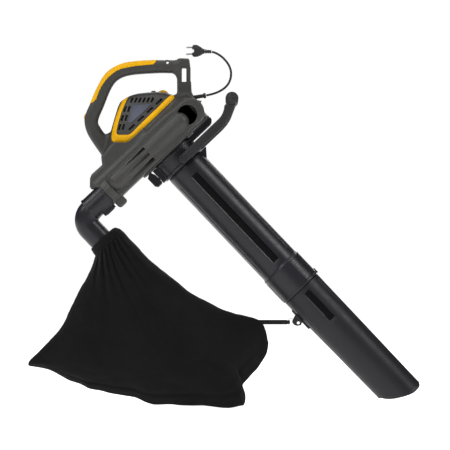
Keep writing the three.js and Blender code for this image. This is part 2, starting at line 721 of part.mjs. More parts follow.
// ---------------------------------------------------------------- outlet elbow
function makeOutlet() {
  const sleeve = cut(
    union(
      outletPipe(SLEEVE_RADIUS, SLEEVE_END, OUTLET_END - 4.5),
      box([196, OUTLET_Y - 9, -255], [208.5, OUTLET_Y + 9, -216]),
    ),
    outletPipe(SLEEVE_RADIUS - 3, SLEEVE_END - 5, 0),
    box([199.8, OUTLET_Y - 7.5, -250], [215, OUTLET_Y + 7.5, -221]),
  );
  place(machine, 'outlet_sleeve', sleeve, BLACK);
  const tab = box([202.6, OUTLET_Y - 7, -249.5], [210, OUTLET_Y + 7, -221.5]);
  place(machine, 'outlet_release_button', tab, BLACK);
}

function elbowRings(radius, from, to) {
  const [pivotA, pivotH] = ELBOW_PIVOT;
  const ringAt = (centre, direction) => {
    const forward = new THREE.Vector3(direction[0], 0, direction[1]);
    const sideways = new THREE.Vector3(0, 1, 0);
    const upward = new THREE.Vector3().crossVectors(forward, sideways);
    return Array.from({ length: 20 }, (_, i) => {
      const angle = (2 * Math.PI * i) / 20;
      return new THREE.Vector3(centre[0], OUTLET_Y, centre[1])
        .addScaledVector(sideways, radius * Math.cos(angle))
        .addScaledVector(upward, radius * Math.sin(angle));
    });
  };
  const bend = Array.from({ length: 7 }, (_, i) => {
    const angle = (Math.PI / 2) * (i / 6);
    return ringAt(
      [pivotA - ELBOW_REACH * Math.cos(angle), pivotH - ELBOW_REACH * Math.sin(angle)],
      [Math.sin(angle), -Math.cos(angle)],
    );
  });
  return [
    ringAt([pivotA - ELBOW_REACH, from], [0, -1]),
    ...bend,
    ringAt([to, pivotH - ELBOW_REACH], [1, 0]),
  ];
}

function makeElbow() {
  const outer = loft(elbowRings(ELBOW_RADIUS, SLEEVE_END + 2, ELBOW_END));
  const inner = loft(elbowRings(ELBOW_RADIUS - WALL, SLEEVE_END + 17, ELBOW_END + 5));
  const above = box([100, -150, SLEEVE_END - GAP], [250, 0, -200]);
  place(machine, 'elbow_pipe', cut(outer, inner, above), BLACK);
}

// ---------------------------------------------------------------- bag
const BAG_COLLAR = { back: 246, front: 268, bore: -309.5, middle: -300, radius: 50 };

function makeBagCollar() {
  const { back, front, bore, middle, radius } = BAG_COLLAR;
  const outer = loft([
    ellipse(back, 43, 43, middle, 24, OUTLET_Y),
    ellipse(back + 12, radius, radius, middle, 24, OUTLET_Y),
    ellipse(front, radius, radius, middle, 24, OUTLET_Y),
  ]);
  const inner = loft([
    ellipse(back - 1, ELBOW_RADIUS + GAP, ELBOW_RADIUS + GAP, bore, 20, OUTLET_Y),
    ellipse(back + 14, ELBOW_RADIUS + GAP, ELBOW_RADIUS + GAP, bore, 20, OUTLET_Y),
    ellipse(front + 1, 44, 44, middle, 20, OUTLET_Y),
  ]);
  place(machine, 'bag_collar', cut(outer, inner), BLACK);
}

// Stations from the neck to the bottom seam, upright frame: the near lower-left edge, the upper
// right edge, how much of the bottom's sag it has, and half the depth.
const BAG_STATIONS = [
  { left: [-168.5, -529.5], right: [-95.5, -461], sag: 0, depth: 50 },
  { left: [-182, -566], right: [-72, -486], sag: 0.02, depth: 58 },
  { left: [-206, -612], right: [-25, -535], sag: 0.07, depth: 64 },
  { left: [-235, -668], right: [34, -586], sag: 0.16, depth: 68 },
  { left: [-267, -731], right: [112, -643], sag: 0.34, depth: 68 },
  { left: [-313, -783], right: [202, -688], sag: 0.6, depth: 58 },
  { left: [-350, -819], right: [287, -712], sag: 0.86, depth: 36 },
  { left: [-357, -830], right: [311, -773], sag: 1, depth: 5 },
];
const BAG_WALL = 3;
const BAG_LEAN = -60; // Y of the bottom seam's left end; its right end hangs under the bracket
const BAG_BOTTOM = new THREE.SplineCurve([
  [-357, -830], [-262, -860], [-210, -893], [-120, -914], [0, -942], [110, -951],
  [226, -951], [246, -930], [266, -868], [311, -773],
].map(([x, z]) => new THREE.Vector2(x, z)));

function bagRing({ left, right, sag, depth }, inset) {
  const sides = 22;
  const [lowX, lowZ] = left;
  const [highX, highZ] = right;
  const span = Math.hypot(highX - lowX, highZ - lowZ);
  const edge = inset / span;
  const straight = (s) => [lowX + (highX - lowX) * s, lowZ + (highZ - lowZ) * s];
  const chord = new THREE.LineCurve(BAG_BOTTOM.points[0], BAG_BOTTOM.points.at(-1));
  return Array.from({ length: sides }, (_, i) => {
    const angle = (2 * Math.PI * i) / sides;
    const s = edge + (1 - 2 * edge) * (0.5 - 0.5 * Math.cos(angle));
    const [x, z] = straight(s);
    const low = BAG_BOTTOM.getPoint(s);
    const level = chord.getPoint(s);
    const middle = THREE.MathUtils.lerp(OUTLET_Y, BAG_LEAN * (1 - s), Math.sqrt(sag));
    const swell = Math.sign(Math.sin(angle)) * Math.abs(Math.sin(angle)) ** (1 - 0.3 * sag);
    return new THREE.Vector3(
      x + sag * (low.x - level.x),
      middle + (depth - inset) * swell,
      z + sag * (low.y - level.y),
    );
  });
}

// Like loft, but its ends are closed straight across, for rings that are bent.
function bentLoft(rings) {
  const count = rings[0].length;
  const index = [];
  for (let r = 0; r < rings.length - 1; r += 1) {
    for (let i = 0; i < count; i += 1) {
      const here = r * count + i;
      const next = r * count + ((i + 1) % count);
      index.push(here, next, next + count, here, next + count, here + count);
    }
  }
  const last = (rings.length - 1) * count;
  for (let i = 0; i < count / 2; i += 1) {
    const [a, b, c, d] = [i, i + 1, count - i - 1, (count - i) % count];
    for (const [p, q, r] of [[a, b, c], [a, c, d]]) {
      if (new Set([p, q, r]).size === 3) {
        index.push(r, q, p, last + p, last + q, last + r);
      }
    }
  }
  const geometry = new THREE.BufferGeometry();
  const positions = rings.flat().flatMap((p) => [p.x, p.y, p.z]);
  geometry.setAttribute('position', new THREE.Float32BufferAttribute(positions, 3));
  geometry.setIndex(index);
  return solid(geometry);
}

function blendStation(from, to, t) {
  const mix = (a, b) => a + (b - a) * t;
  return {
    left: from.left.map((v, i) => mix(v, to.left[i])),
    right: from.right.map((v, i) => mix(v, to.right[i])),
    sag: mix(from.sag, to.sag),
    depth: mix(from.depth, to.depth),
  };
}

function makeBag() {
  const outer = bentLoft(BAG_STATIONS.map((station) => bagRing(station, 0)));
  const open = { ...BAG_STATIONS[0] };
  const reach = 12; // the hollow runs this far out through the neck
  const back = [-reach * Math.cos(TILT), reach * Math.sin(TILT)];
  open.left = open.left.map((v, i) => v + back[i]);
  open.right = open.right.map((v, i) => v + back[i]);
  const bottom = blendStation(BAG_STATIONS[6], BAG_STATIONS[7], 0.72);
  const hollowRings = [open, ...BAG_STATIONS.slice(0, 7), bottom]
    .map((station) => bagRing(station, BAG_WALL));
  place(assembly, 'bag', cut(outer, bentLoft(hollowRings)), FABRIC);
}

function makeStrap() {
  const shape = new THREE.Shape();
  shape.moveTo(294, -1.5);
  shape.lineTo(361, -1.5);
  shape.lineTo(RING.bar - 1, -2.9);
  shape.quadraticCurveTo(RING.bar + 3.1, -2.9, RING.bar + 3.1, 0);
  shape.quadraticCurveTo(RING.bar + 3.1, 2.9, RING.bar - 1, 2.9);
  shape.lineTo(361, 1.5);
  shape.lineTo(294, 1.5);
  const hole = new THREE.Path().absarc(RING.bar, 0, RING.wire + 0.35, 0, 2 * Math.PI, true);
  shape.holes.push(hole);
  const geometry = new THREE.ExtrudeGeometry(shape, {
    depth: 13, bevelEnabled: false, curveSegments: 4,
  });
  geometry.translate(0, 0, RING.z - 6.5);
  const corners = box([366, -20, -740], [400, 20, RING.z - 5.2]);
  const upper = box([366, -20, RING.z + 5.2], [400, 20, -700]);
  place(assembly, 'bag_strap', cut(solid(geometry), corners, upper), FABRIC);
}

// ---------------------------------------------------------------- mains lead
const CORD_RADIUS = 3.1;
const CORD_ROUTE = [
  [136.4, -82.2], [150, -79.2], [165, -74.5], [179, -67.5], [191, -58.5], [199.5, -47.5],
  [204.5, -34.5], [206, -20], [203.8, -7.5], [198.5, 4.5], [190.5, 15.5], [180.5, 25.5],
  [170, 32.8], [160.5, 37.5], [152.2, 39.8],
];

function makeCord() {
  const route = new THREE.CatmullRomCurve3(
    CORD_ROUTE.map(([x, z]) => new THREE.Vector3(x, 0, z)),
  );
  const section = new THREE.Shape().absarc(0, 0, CORD_RADIUS, 0, 2 * Math.PI, false);
  const geometry = new THREE.ExtrudeGeometry(section, {
    steps: 14, extrudePath: route, curveSegments: 4, bevelEnabled: false,
  });
  place(assembly, 'mains_cord', solid(geometry), RUBBER);
  const [startX, , startZ] = RELIEF_START;
  const [endX, , endZ] = RELIEF_END;
  const on = (share) => [startX + (endX - startX) * share, 0, startZ + (endZ - startZ) * share];
  place(assembly, 'strain_relief', union(
    rod(on(0), on(0.88), 6.4, 5.3, 12),
    rod(on(0.87), on(1), 7.6, 7.2, 12),
  ), RUBBER);
}

const PLUG_RINGS = [
  [97, 9, 14, 42.5], [103, 13, 17.3, 42.6], [112, 13, 16.4, 42.4], [121, 10.5, 11.8, 41.6],
  [128, 7.5, 7, 41.2], [151, 4.6, 4.6, 40],
];
const PIN_ROWS = [['upper', 52.3], ['lower', 33.3]];

function makePlug() {
  const body = loft(PLUG_RINGS.map(([x, half, tall, z]) => ellipse(x, half, tall, z, 14)));
  const notch = box([90, -20, 37.5], [102, 20, 47]);
  const sockets = PIN_ROWS.map(([, z]) => rod([80, 0, z], [100, 0, z], 2.7, 2.7, 10));
  place(assembly, 'plug_body', cut(body, notch, ...sockets), RUBBER);
  for (const [label, z] of PIN_ROWS) {
    place(assembly, `plug_pin_${label}`, rod([80, 0, z], [99.5, 0, z], 2.4, 2.4, 10), STEEL);
  }
}

// ---------------------------------------------------------------- leads and screws inside
function lead(points, radius) {
  const path = new THREE.CatmullRomCurve3(points.map((p) => new THREE.Vector3(...p)));
  const section = new THREE.Shape().absarc(0, 0, radius, 0, 2 * Math.PI, false);
  return solid(new THREE.ExtrudeGeometry(section, {
    steps: 6, extrudePath: path, curveSegments: 3, bevelEnabled: false,
  }));
}

function makeInside() {
  place(assembly, 'supply_lead', lead(
    [[81, 0, -91.2], [66, 4, -97], [48, 10, -101], [30, 11, -100]], 2.6,
  ), RUBBER);
  place(assembly, 'switch_lead', lead(
    [[-180, 0, -158], [-180, 0, -180], [-166, 0, -206], [-140, 0, -220], [-112, 0, -222]], 2.6,
  ), RUBBER);
  SCREWS.forEach(([x, z], i) => {
    const shank = rod([x, -10, z], [x, HANDLE_HALF - 3.7, z], 1.8, 1.8, 8);
    const head = rod([x, HANDLE_HALF - 3.7, z], [x, HANDLE_HALF - 1, z], 4.2, 4.2, 10);
    place(assembly, `housing_screw_${i + 1}`, union(shank, head), STEEL);
  });
}

makeHousing();
makeTrim('left', -1);
makeTrim('right', 1);
makeGripPad();
makePostInsert();
makeSwitches();
makeMotor();
makeFan();
makeCover();
makeCollar();
makeLatch();
makeAuxHandle();
makeUpperTube();
makeLowerTube();
makeBracket();
makeRing();
makeOutlet();
makeElbow();
makeBagCollar();
makeBag();
makeStrap();
makeCord();
makePlug();
makeInside();

export default assembly;
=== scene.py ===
"""Leaf vacuum mulcher, hanging from its top grip with the suction tube sloping down.

Shapes are written in millimetres and become metres when a mesh is made. Two frames are used:
the upright frame (x, y, z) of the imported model, and the machine frame (a, y, v), where a runs
down the suction tube and v square to it. The tube's axis lies at v = AXIS.
"""
import json
import math

import bpy
import numpy as np
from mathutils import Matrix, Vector


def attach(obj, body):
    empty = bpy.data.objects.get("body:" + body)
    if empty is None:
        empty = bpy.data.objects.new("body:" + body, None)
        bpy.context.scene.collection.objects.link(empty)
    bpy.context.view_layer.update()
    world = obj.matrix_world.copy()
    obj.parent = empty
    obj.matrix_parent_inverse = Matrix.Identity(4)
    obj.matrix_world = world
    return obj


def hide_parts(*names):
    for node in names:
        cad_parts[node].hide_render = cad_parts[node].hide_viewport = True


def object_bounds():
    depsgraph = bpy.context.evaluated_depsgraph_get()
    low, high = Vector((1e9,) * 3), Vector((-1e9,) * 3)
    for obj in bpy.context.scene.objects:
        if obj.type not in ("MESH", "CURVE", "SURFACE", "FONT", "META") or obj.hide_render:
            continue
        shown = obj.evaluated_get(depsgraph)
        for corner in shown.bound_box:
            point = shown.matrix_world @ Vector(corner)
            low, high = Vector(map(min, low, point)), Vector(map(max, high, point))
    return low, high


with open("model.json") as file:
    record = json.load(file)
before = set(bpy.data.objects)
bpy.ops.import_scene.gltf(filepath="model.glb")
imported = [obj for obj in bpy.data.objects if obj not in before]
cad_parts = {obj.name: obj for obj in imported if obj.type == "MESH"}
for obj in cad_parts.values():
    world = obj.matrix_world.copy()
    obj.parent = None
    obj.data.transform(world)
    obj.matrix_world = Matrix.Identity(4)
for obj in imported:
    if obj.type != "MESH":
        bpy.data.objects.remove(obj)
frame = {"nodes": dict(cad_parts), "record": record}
cad_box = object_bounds()

MM = 0.001
TILT = math.radians(46.5)
COS, SIN = math.cos(TILT), math.sin(TILT)
AXIS = -137.0  # v of the fan and tube axis


# ---- camera
FRAME_WIDTH = 1.26  # metres across the picture, at the machine's middle
CAMERA_DISTANCE = 6.0
SENSOR = 36.0


def make_camera():
    data = bpy.data.cameras.new("camera")
    data.sensor_width = SENSOR
    data.lens = SENSOR * CAMERA_DISTANCE / FRAME_WIDTH
    data.clip_end = 50
    camera = bpy.data.objects.new("camera", data)
    camera.location = (0.189, -CAMERA_DISTANCE, -0.445)
    camera.rotation_euler = (math.radians(90), 0, 0)
    bpy.context.scene.collection.objects.link(camera)
    bpy.context.scene.camera = camera


make_camera()


# ---- node help
def new_material(name):
    material = bpy.data.materials.new(name)
    material.use_nodes = True
    tree = material.node_tree
    shader = tree.nodes["Principled BSDF"]
    return material, tree, shader


def add_node(tree, kind, inputs=None, **settings):
    node = tree.nodes.new(kind)
    for key, value in settings.items():
        setattr(node, key, value)
    for key, value in (inputs or {}).items():
        node.inputs[key].default_value = value
    return node


def noise_at(tree, scale, detail=4.0, roughness=0.55, stretch=None):
    """Noise in the piece's own metres, so its grain has a real size."""
    place = add_node(tree, "ShaderNodeTexCoord")
    source = place.outputs["Object"]
    if stretch:
        mapping = add_node(tree, "ShaderNodeMapping", {"Scale": stretch})
        tree.links.new(source, mapping.inputs["Vector"])
        source = mapping.outputs["Vector"]
    noise = add_node(
        tree, "ShaderNodeTexNoise", {"Scale": scale, "Detail": detail, "Roughness": roughness}
    )
    tree.links.new(source, noise.inputs["Vector"])
    return noise.outputs["Fac"]


def ramp(tree, factor, stops):
    node = add_node(tree, "ShaderNodeValToRGB")
    elements = node.color_ramp.elements
    while len(elements) < len(stops):
        elements.new(0.5)
    for element, (position, colour) in zip(elements, stops):
        element.position = position
        element.color = (*colour, 1) if isinstance(colour, tuple) else (colour,) * 3 + (1,)
    tree.links.new(factor, node.inputs["Fac"])
    return node.outputs["Color"]


def bump(tree, heights, shader):
    """Chains bumps: each is (height output, depth in metres, strength)."""
    normal = None
    for height, depth, strength in heights:
        node = add_node(tree, "ShaderNodeBump", {"Distance": depth, "Strength": strength})
        tree.links.new(height, node.inputs["Height"])
        if normal:
            tree.links.new(normal, node.inputs["Normal"])
        normal = node.outputs["Normal"]
    tree.links.new(normal, shader.inputs["Normal"])


def shade(colour, factor):
    return tuple(min(1.0, channel * factor) for channel in colour)


def moulded_plastic(
    name, colour, roughness, grain=1400, depth=0.00006, wear=1.5, spread=0.06, gloss=0.3, relief=0.5
):
    """Spark-eroded moulded plastic: fine grain, faint mottling, rubbed edges."""
    material, tree, shader = new_material(name)
    mottle = noise_at(tree, 22, 5)
    base = ramp(tree, mottle, [(0.3, shade(colour, 0.9)), (0.7, shade(colour, 1.1))])
    edge = add_node(tree, "ShaderNodeNewGeometry").outputs["Pointiness"]
    worn = ramp(tree, edge, [(0.5, 0.0), (0.56, 1.0)])
    mix = add_node(tree, "ShaderNodeMix", {"B": (*shade(colour, wear), 1)}, data_type="RGBA")
    tree.links.new(worn, mix.inputs["Factor"])
    tree.links.new(base, mix.inputs["A"])
    tree.links.new(mix.outputs["Result"], shader.inputs["Base Color"])
    smear = noise_at(tree, 60, 6, 0.65)
    rough = ramp(tree, smear, [(0.3, roughness - spread), (0.7, roughness + spread)])
    tree.links.new(rough, shader.inputs["Roughness"])
    fine = noise_at(tree, grain, 2)
    slow = noise_at(tree, 45, 2)
    bump(tree, [(slow, 0.0006, 0.08), (fine, depth, relief)], shader)
    shader.inputs["Specular IOR Level"].default_value = gloss
    return material


# ---- materials
def threads(tree, pitch, direction):
    """Straight ridges a pitch apart, square to a direction, for weaves and ribs."""
    place = add_node(tree, "ShaderNodeTexCoord")
    split = add_node(tree, "ShaderNodeVectorMath", operation="DOT_PRODUCT")
    split.inputs[1].default_value = direction
    tree.links.new(place.outputs["Object"], split.inputs[0])
    scaled = add_node(tree, "ShaderNodeMath", {1: 2 * math.pi / pitch}, operation="MULTIPLY")
    tree.links.new(split.outputs["Value"], scaled.inputs[0])
    wave = add_node(tree, "ShaderNodeMath", operation="SINE")
    tree.links.new(scaled.outputs[0], wave.inputs[0])
    return wave.outputs[0]


def multiply(tree, first, second):
    node = add_node(tree, "ShaderNodeMath", operation="MULTIPLY")
    tree.links.new(first, node.inputs[0])
    tree.links.new(second, node.inputs[1])
    return node.outputs[0]


def woven_cloth(name, colour, pitch, roughness=0.88, sheen=0.25):
    """Plain weave with yarn unevenness, faint dusting and a soft sheen."""
    material, tree, shader = new_material(name)
    patch = noise_at(tree, 9, 5)
    base = ramp(tree, patch, [(0.3, shade(colour, 0.8)), (0.72, shade(colour, 1.25))])
    tree.links.new(base, shader.inputs["Base Color"])
    shader.inputs["Roughness"].default_value = roughness
    shader.inputs["Specular IOR Level"].default_value = 0.08
    shader.inputs["Sheen Weight"].default_value = sheen
    shader.inputs["Sheen Roughness"].default_value = 0.5
    warp = threads(tree, pitch, (0.8, 0.0, 0.6))
    weft = threads(tree, pitch, (-0.6, 0.35, 0.8))
    weave = multiply(tree, warp, weft)
    slub = noise_at(tree, 260, 3)
    crumple = noise_at(tree, 38, 4)
    heights = [(crumple, 0.002, 0.35), (slub, 0.0003, 0.5), (weave, 0.0002, 0.8)]
    bump(tree, heights, shader)
    return material


def metal(name, colour, roughness, stretch=(1, 1, 1), scratches=900):
    """Bare metal with fine directional scratches and a little tarnish."""
    material, tree, shader = new_material(name)
    shader.inputs["Metallic"].default_value = 1.0
    tarnish = noise_at(tree, 70, 5)
    base = ramp(tree, tarnish, [(0.35, shade(colour, 0.8)), (0.65, colour)])
    tree.links.new(base, shader.inputs["Base Color"])
    grain = noise_at(tree, scratches, 3, stretch=stretch)
    rough = ramp(tree, grain, [(0.3, roughness * 0.75), (0.7, roughness * 1.3)])
    tree.links.new(rough, shader.inputs["Roughness"])
    bump(tree, [(grain, 0.00004, 0.5)], shader)
    return material


def rubber(name, colour, roughness=0.62):
    """Soft PVC: dull, slightly blotchy, with a fine pebble."""
    material, tree, shader = new_material(name)
    bloom = noise_at(tree, 120, 4)
    base = ramp(tree, bloom, [(0.3, shade(colour, 0.85)), (0.75, shade(colour, 1.5))])
    tree.links.new(base, shader.inputs["Base Color"])
    shader.inputs["Roughness"].default_value = roughness
    shader.inputs["Specular IOR Level"].default_value = 0.25
    pebble = noise_at(tree, 1800, 2)
    bump(tree, [(pebble, 0.00005, 0.8)], shader)
    return material


def windings(name, colour):
    """Varnished copper wire laid in rows, with painted shade darkening the grooves between them."""
    material, tree, shader = new_material(name)
    shader.inputs["Metallic"].default_value = 0.9
    shader.inputs["Roughness"].default_value = 0.35
    rows = threads(tree, 0.0009, (SIN, 0.0, COS))
    # painted shade: the copper darkens to about a third in the grooves between the wire rows
    base = ramp(tree, rows, [(0.2, shade(colour, 0.35)), (0.8, colour)])
    tree.links.new(base, shader.inputs["Base Color"])
    bump(tree, [(rows, 0.0003, 0.8)], shader)
    return material


MATERIALS = {
    "housing_grey": moulded_plastic("housing_grey", (0.025, 0.0246, 0.0232), 0.48),
    "accent_yellow": moulded_plastic(
        "accent_yellow", (0.56, 0.29, 0.0), 0.5, grain=1100, wear=1.05, spread=0.05, gloss=0.1
    ),
    "grille_dark": moulded_plastic("grille_dark", (0.026, 0.0255, 0.024), 0.55),
    "plate_blue_grey": moulded_plastic(
        "plate_blue_grey", (0.032, 0.036, 0.06), 0.4, grain=2600, depth=0.00002, spread=0.04
    ),
    "handle_dark": moulded_plastic("handle_dark", (0.008, 0.008, 0.009), 0.5, depth=0.0001),
    "tube_black": moulded_plastic(
        "tube_black", (0.005, 0.005, 0.0078), 0.37, grain=1700, depth=0.00002, wear=2.0, gloss=0.28,
        relief=0.08,
    ),
    "nozzle_black": moulded_plastic(
        "nozzle_black", (0.005, 0.005, 0.007), 0.46, grain=1000, depth=0.00004, wear=2.0, gloss=0.25,
        relief=0.25,
    ),
    "panel_black": moulded_plastic(
        "panel_black", (0.0018, 0.0018, 0.0022), 0.6, depth=0.00002, gloss=0.06, relief=0.3
    ),
    "fan_plastic": moulded_plastic("fan_plastic", (0.03, 0.03, 0.032), 0.45),
    "motor_steel": metal("motor_steel", (0.55, 0.56, 0.57), 0.35, (1, 8, 1)),
    "fastener_steel": metal("fastener_steel", (0.66, 0.67, 0.68), 0.25),
    "pin_nickel": metal("pin_nickel", (0.3, 0.295, 0.28), 0.3, (0.1, 1, 1)),
    "winding_copper": windings("winding_copper", (0.72, 0.34, 0.14)),
    "brush_carbon": rubber("brush_carbon", (0.006, 0.006, 0.006), 0.8),
    "cord_rubber": rubber("cord_rubber", (0.012, 0.012, 0.012)),
    "bag_fabric": woven_cloth("bag_fabric", (0.0038, 0.0038, 0.0042), 0.0011, sheen=0.03),
    "strap_webbing": woven_cloth("strap_webbing", (0.009, 0.009, 0.0095), 0.0016, sheen=0.15),
}


# ---- pieces
def add_piece(mesh, name, body, slot, nodes=(), material=None):
    """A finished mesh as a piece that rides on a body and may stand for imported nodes."""
    piece = bpy.data.objects.new(name, mesh)
    bpy.context.scene.collection.objects.link(piece)
    piece.data.materials.append(MATERIALS[material or slot])
    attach(piece, body)
    if nodes:
        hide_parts(*nodes)
    return piece


def mesh_from(name, points, faces, smooth=True):
    """A mesh from points in millimetres; faces is an array of quads or a list of polygons."""
    mesh = bpy.data.meshes.new(name)
    points = np.asarray(points, dtype=np.float64) * MM
    if isinstance(faces, np.ndarray):
        mesh.vertices.add(len(points))
        mesh.vertices.foreach_set("co", points.ravel())
        mesh.loops.add(faces.size)
        mesh.loops.foreach_set("vertex_index", faces.ravel().astype(np.int32))
        mesh.polygons.add(len(faces))
        starts = np.arange(len(faces), dtype=np.int32) * faces.shape[1]
        mesh.polygons.foreach_set("loop_start", starts)
    else:
        mesh.from_pydata(points.tolist(), [], faces)
    mesh.polygons.foreach_set("use_smooth", [smooth] * len(mesh.polygons))
    mesh.validate()
    mesh.update()
    return mesh


def wrapped(rows, count, closed=False):
    """Quads between rings of points that follow each other; closed joins the last to the first."""
    last = rows if closed else rows - 1
    row, column = np.meshgrid(np.arange(last), np.arange(count), indexing="ij")
    here, after = row * count, (row + 1) % rows * count
    beside = (column + 1) % count
    quads = (here + column, here + beside, after + beside, after + column)
    return np.stack(quads, -1).reshape(-1, 4)


def upright(a, y, v):
    """Machine frame to upright frame."""
    return a * COS + v * SIN, y, -a * SIN + v * COS


def from_upright(x, z):
    return x * COS - z * SIN, x * SIN + z * COS


# ---- distance shapes
# A shape is a function of points that gives the distance to its surface, negative inside.
def joined(first, second, radius=0.0):
    """Union of two distances, with a fillet of about the radius."""
    if radius <= 0:
        return np.minimum(first, second)
    share = np.clip(0.5 + 0.5 * (second - first) / radius, 0, 1)
    return second + (first - second) * share - radius * share * (1 - share)


def carved(body, tool, radius=0.0):
    return -joined(-body, tool, radius)


def common(first, second, radius=0.0):
    return -joined(-first, -second, radius)


def prism(flat, across, radius=0.0):
    """An outline's distance and the distance past its two faces, with rounded edges."""
    first, second = flat + radius, across + radius
    outside = np.sqrt(np.maximum(first, 0) ** 2 + np.maximum(second, 0) ** 2)
    return np.minimum(np.maximum(first, second), 0) + outside - radius


def slab(coordinate, low, high):
    return np.abs(coordinate - (low + high) / 2) - (high - low) / 2


def block(u, v, w, low, high, radius=1.0):
    """A box with rounded edges."""
    sides = [slab(c, lo, hi) + radius for c, lo, hi in zip((u, v, w), low, high)]
    outside = np.sqrt(sum(np.maximum(side, 0) ** 2 for side in sides))
    return np.minimum(np.maximum(np.maximum(sides[0], sides[1]), sides[2]), 0) + outside - radius


def capsule(u, v, w, start, end, radius):
    """A rod with round ends between two points."""
    along = np.subtract(end, start)
    t = sum((c - s) * d for c, s, d in zip((u, v, w), start, along)) / float(along @ along)
    t = np.clip(t, 0, 1)
    gap = np.sqrt(sum((c - s - t * d) ** 2 for c, s, d in zip((u, v, w), start, along)))
    return gap - radius


def curve_points(points, steps=6, closed=False):
    """A smooth line through points."""
    points = [np.array(p, dtype=float) for p in points]
    count = len(points)
    line = []
    for i in range(count if closed else count - 1):
        if closed:
            p0, p1, p2, p3 = (points[(i + k) % count] for k in (-1, 0, 1, 2))
        else:
            p0, p1, p2, p3 = (points[min(max(i + k, 0), count - 1)] for k in (-1, 0, 1, 2))
        for t in np.arange(steps) / steps:
            line.append(
                0.5 * (2 * p1 + (p2 - p0) * t + (2 * p0 - 5 * p1 + 4 * p2 - p3) * t ** 2
                       + (3 * p1 - p0 - 3 * p2 + p3) * t ** 3)
            )
    if not closed:
        line.append(points[-1])
    return line


def outline_distance(u, v, points):
    """Distance from points to a closed outline, negative inside it."""
    nearest = np.full(u.shape, 1e12)
    inside = np.zeros(u.shape, dtype=bool)
    for (ua, va), (ub, vb) in zip(points, list(points[1:]) + [points[0]]):
        du, dv = ub - ua, vb - va
        t = np.clip(((u - ua) * du + (v - va) * dv) / max(du * du + dv * dv, 1e-9), 0, 1)
        nearest = np.minimum(nearest, (u - ua - t * du) ** 2 + (v - va - t * dv) ** 2)
        if dv != 0:
            crosses = (va > v) != (vb > v)
            inside ^= crosses & (u < ua + (v - va) * du / dv)
    return np.where(inside, -1, 1) * np.sqrt(nearest)


def outline(points, step=0.8, reach=40):
    """The distance to an outline, looked up in a fine table so that long outlines stay quick."""
    low = np.min(points, axis=0) - reach
    size = np.ceil((np.max(points, axis=0) + reach - low) / step).astype(int) + 1
    u, v = np.meshgrid(*(low[k] + step * np.arange(size[k]) for k in (0, 1)), indexing="ij")
    table = outline_distance(u, v, points).astype(np.float32)

    def distance(at_u, at_v):
        s = np.clip((at_u - low[0]) / step, 0, size[0] - 1.001)
        t = np.clip((at_v - low[1]) / step, 0, size[1] - 1.001)
        i, j = s.astype(np.int32), t.astype(np.int32)
        s, t = s - i, t - j
        near = table[i, j] * (1 - t) + table[i, j + 1] * t
        far = table[i + 1, j] * (1 - t) + table[i + 1, j + 1] * t
        return near * (1 - s) + far * s

    return distance


BLOCK = 8  # samples along the side of a block that is worked out in one go


def sampled(distance, low, high, step):
    """The distance on a grid. Blocks far from the surface only get their middle's value."""
    cells = np.ceil((np.subtract(high, low)) / step / BLOCK).astype(int)
    middles = [low[k] + step * BLOCK * (np.arange(cells[k]) + 0.5) for k in range(3)]
    grid = np.meshgrid(*middles, indexing="ij")
    coarse = distance(*(g.ravel() for g in grid)).reshape(cells)
    field = np.pad(
        coarse.repeat(BLOCK, 0).repeat(BLOCK, 1).repeat(BLOCK, 2).astype(np.float32),
        ((0, 1),) * 3, mode="edge",
    )
    close = np.argwhere(np.abs(coarse) < step * BLOCK * 1.15 + 2)
    offsets = np.stack(np.meshgrid(*[np.arange(BLOCK + 1)] * 3, indexing="ij"), -1).reshape(-1, 3)
    batch = 600
    for start in range(0, len(close), batch):
        corners = close[start:start + batch] * BLOCK
        at = (corners[:, None] + offsets[None]).reshape(-1, 3)
        points = (np.asarray(low) + at * step).astype(np.float32)
        values = distance(points[:, 0], points[:, 1], points[:, 2])
        field[at[:, 0], at[:, 1], at[:, 2]] = values
    return field


CORNERS = np.array([(i, j, k) for i in (0, 1) for j in (0, 1) for k in (0, 1)])


def netted(field, low, step):
    """Surface nets: one point in each cell that the surface crosses, one quad for each edge."""
    inside = field < 0
    shape = np.array(field.shape) - 1
    part = tuple(slice(0, n) for n in shape)
    filled = np.zeros(shape, np.int8)
    for corner in CORNERS:
        filled += inside[tuple(slice(c, c + n) for c, n in zip(corner, shape))]
    active = (filled > 0) & (filled < 8)
    cells = np.argwhere(active)
    index = np.full(shape, -1, np.int32)
    index[active] = np.arange(len(cells))
    total = np.zeros((len(cells), 3))
    count = np.zeros(len(cells))
    for corner in CORNERS:
        for axis in range(3):
            if corner[axis]:
                continue
            step_to = np.eye(3, dtype=int)[axis]
            near, far = cells + corner, cells + corner + step_to
            d0 = field[near[:, 0], near[:, 1], near[:, 2]]
            d1 = field[far[:, 0], far[:, 1], far[:, 2]]
            crosses = (d0 < 0) != (d1 < 0)
            t = np.where(crosses, d0 / np.where(crosses, d0 - d1, 1), 0)
            total += np.where(crosses[:, None], corner + t[:, None] * step_to, 0)
            count += crosses
    points = np.asarray(low) + (cells + total / count[:, None]) * step
    quads = []
    for axis in range(3):
        second, third = (axis + 1) % 3, (axis + 2) % 3
        here = inside[part]
        moved = tuple(slice(int(k == axis), n + int(k == axis)) for k, n in enumerate(shape))
        ahead = inside[moved]
        edges = np.argwhere(here != ahead)
        edges = edges[(edges[:, second] > 0) & (edges[:, third] > 0)]
        leaving = here[edges[:, 0], edges[:, 1], edges[:, 2]]
        around = []
        for ds, dt in ((1, 1), (0, 1), (0, 0), (1, 0)):
            at = edges.copy()
            at[:, second] -= ds
            at[:, third] -= dt
            around.append(index[at[:, 0], at[:, 1], at[:, 2]])
        quad = np.stack(around, -1)
        quad[~leaving] = quad[~leaving][:, ::-1]
        quads.append(quad)
    return points, np.concatenate(quads)


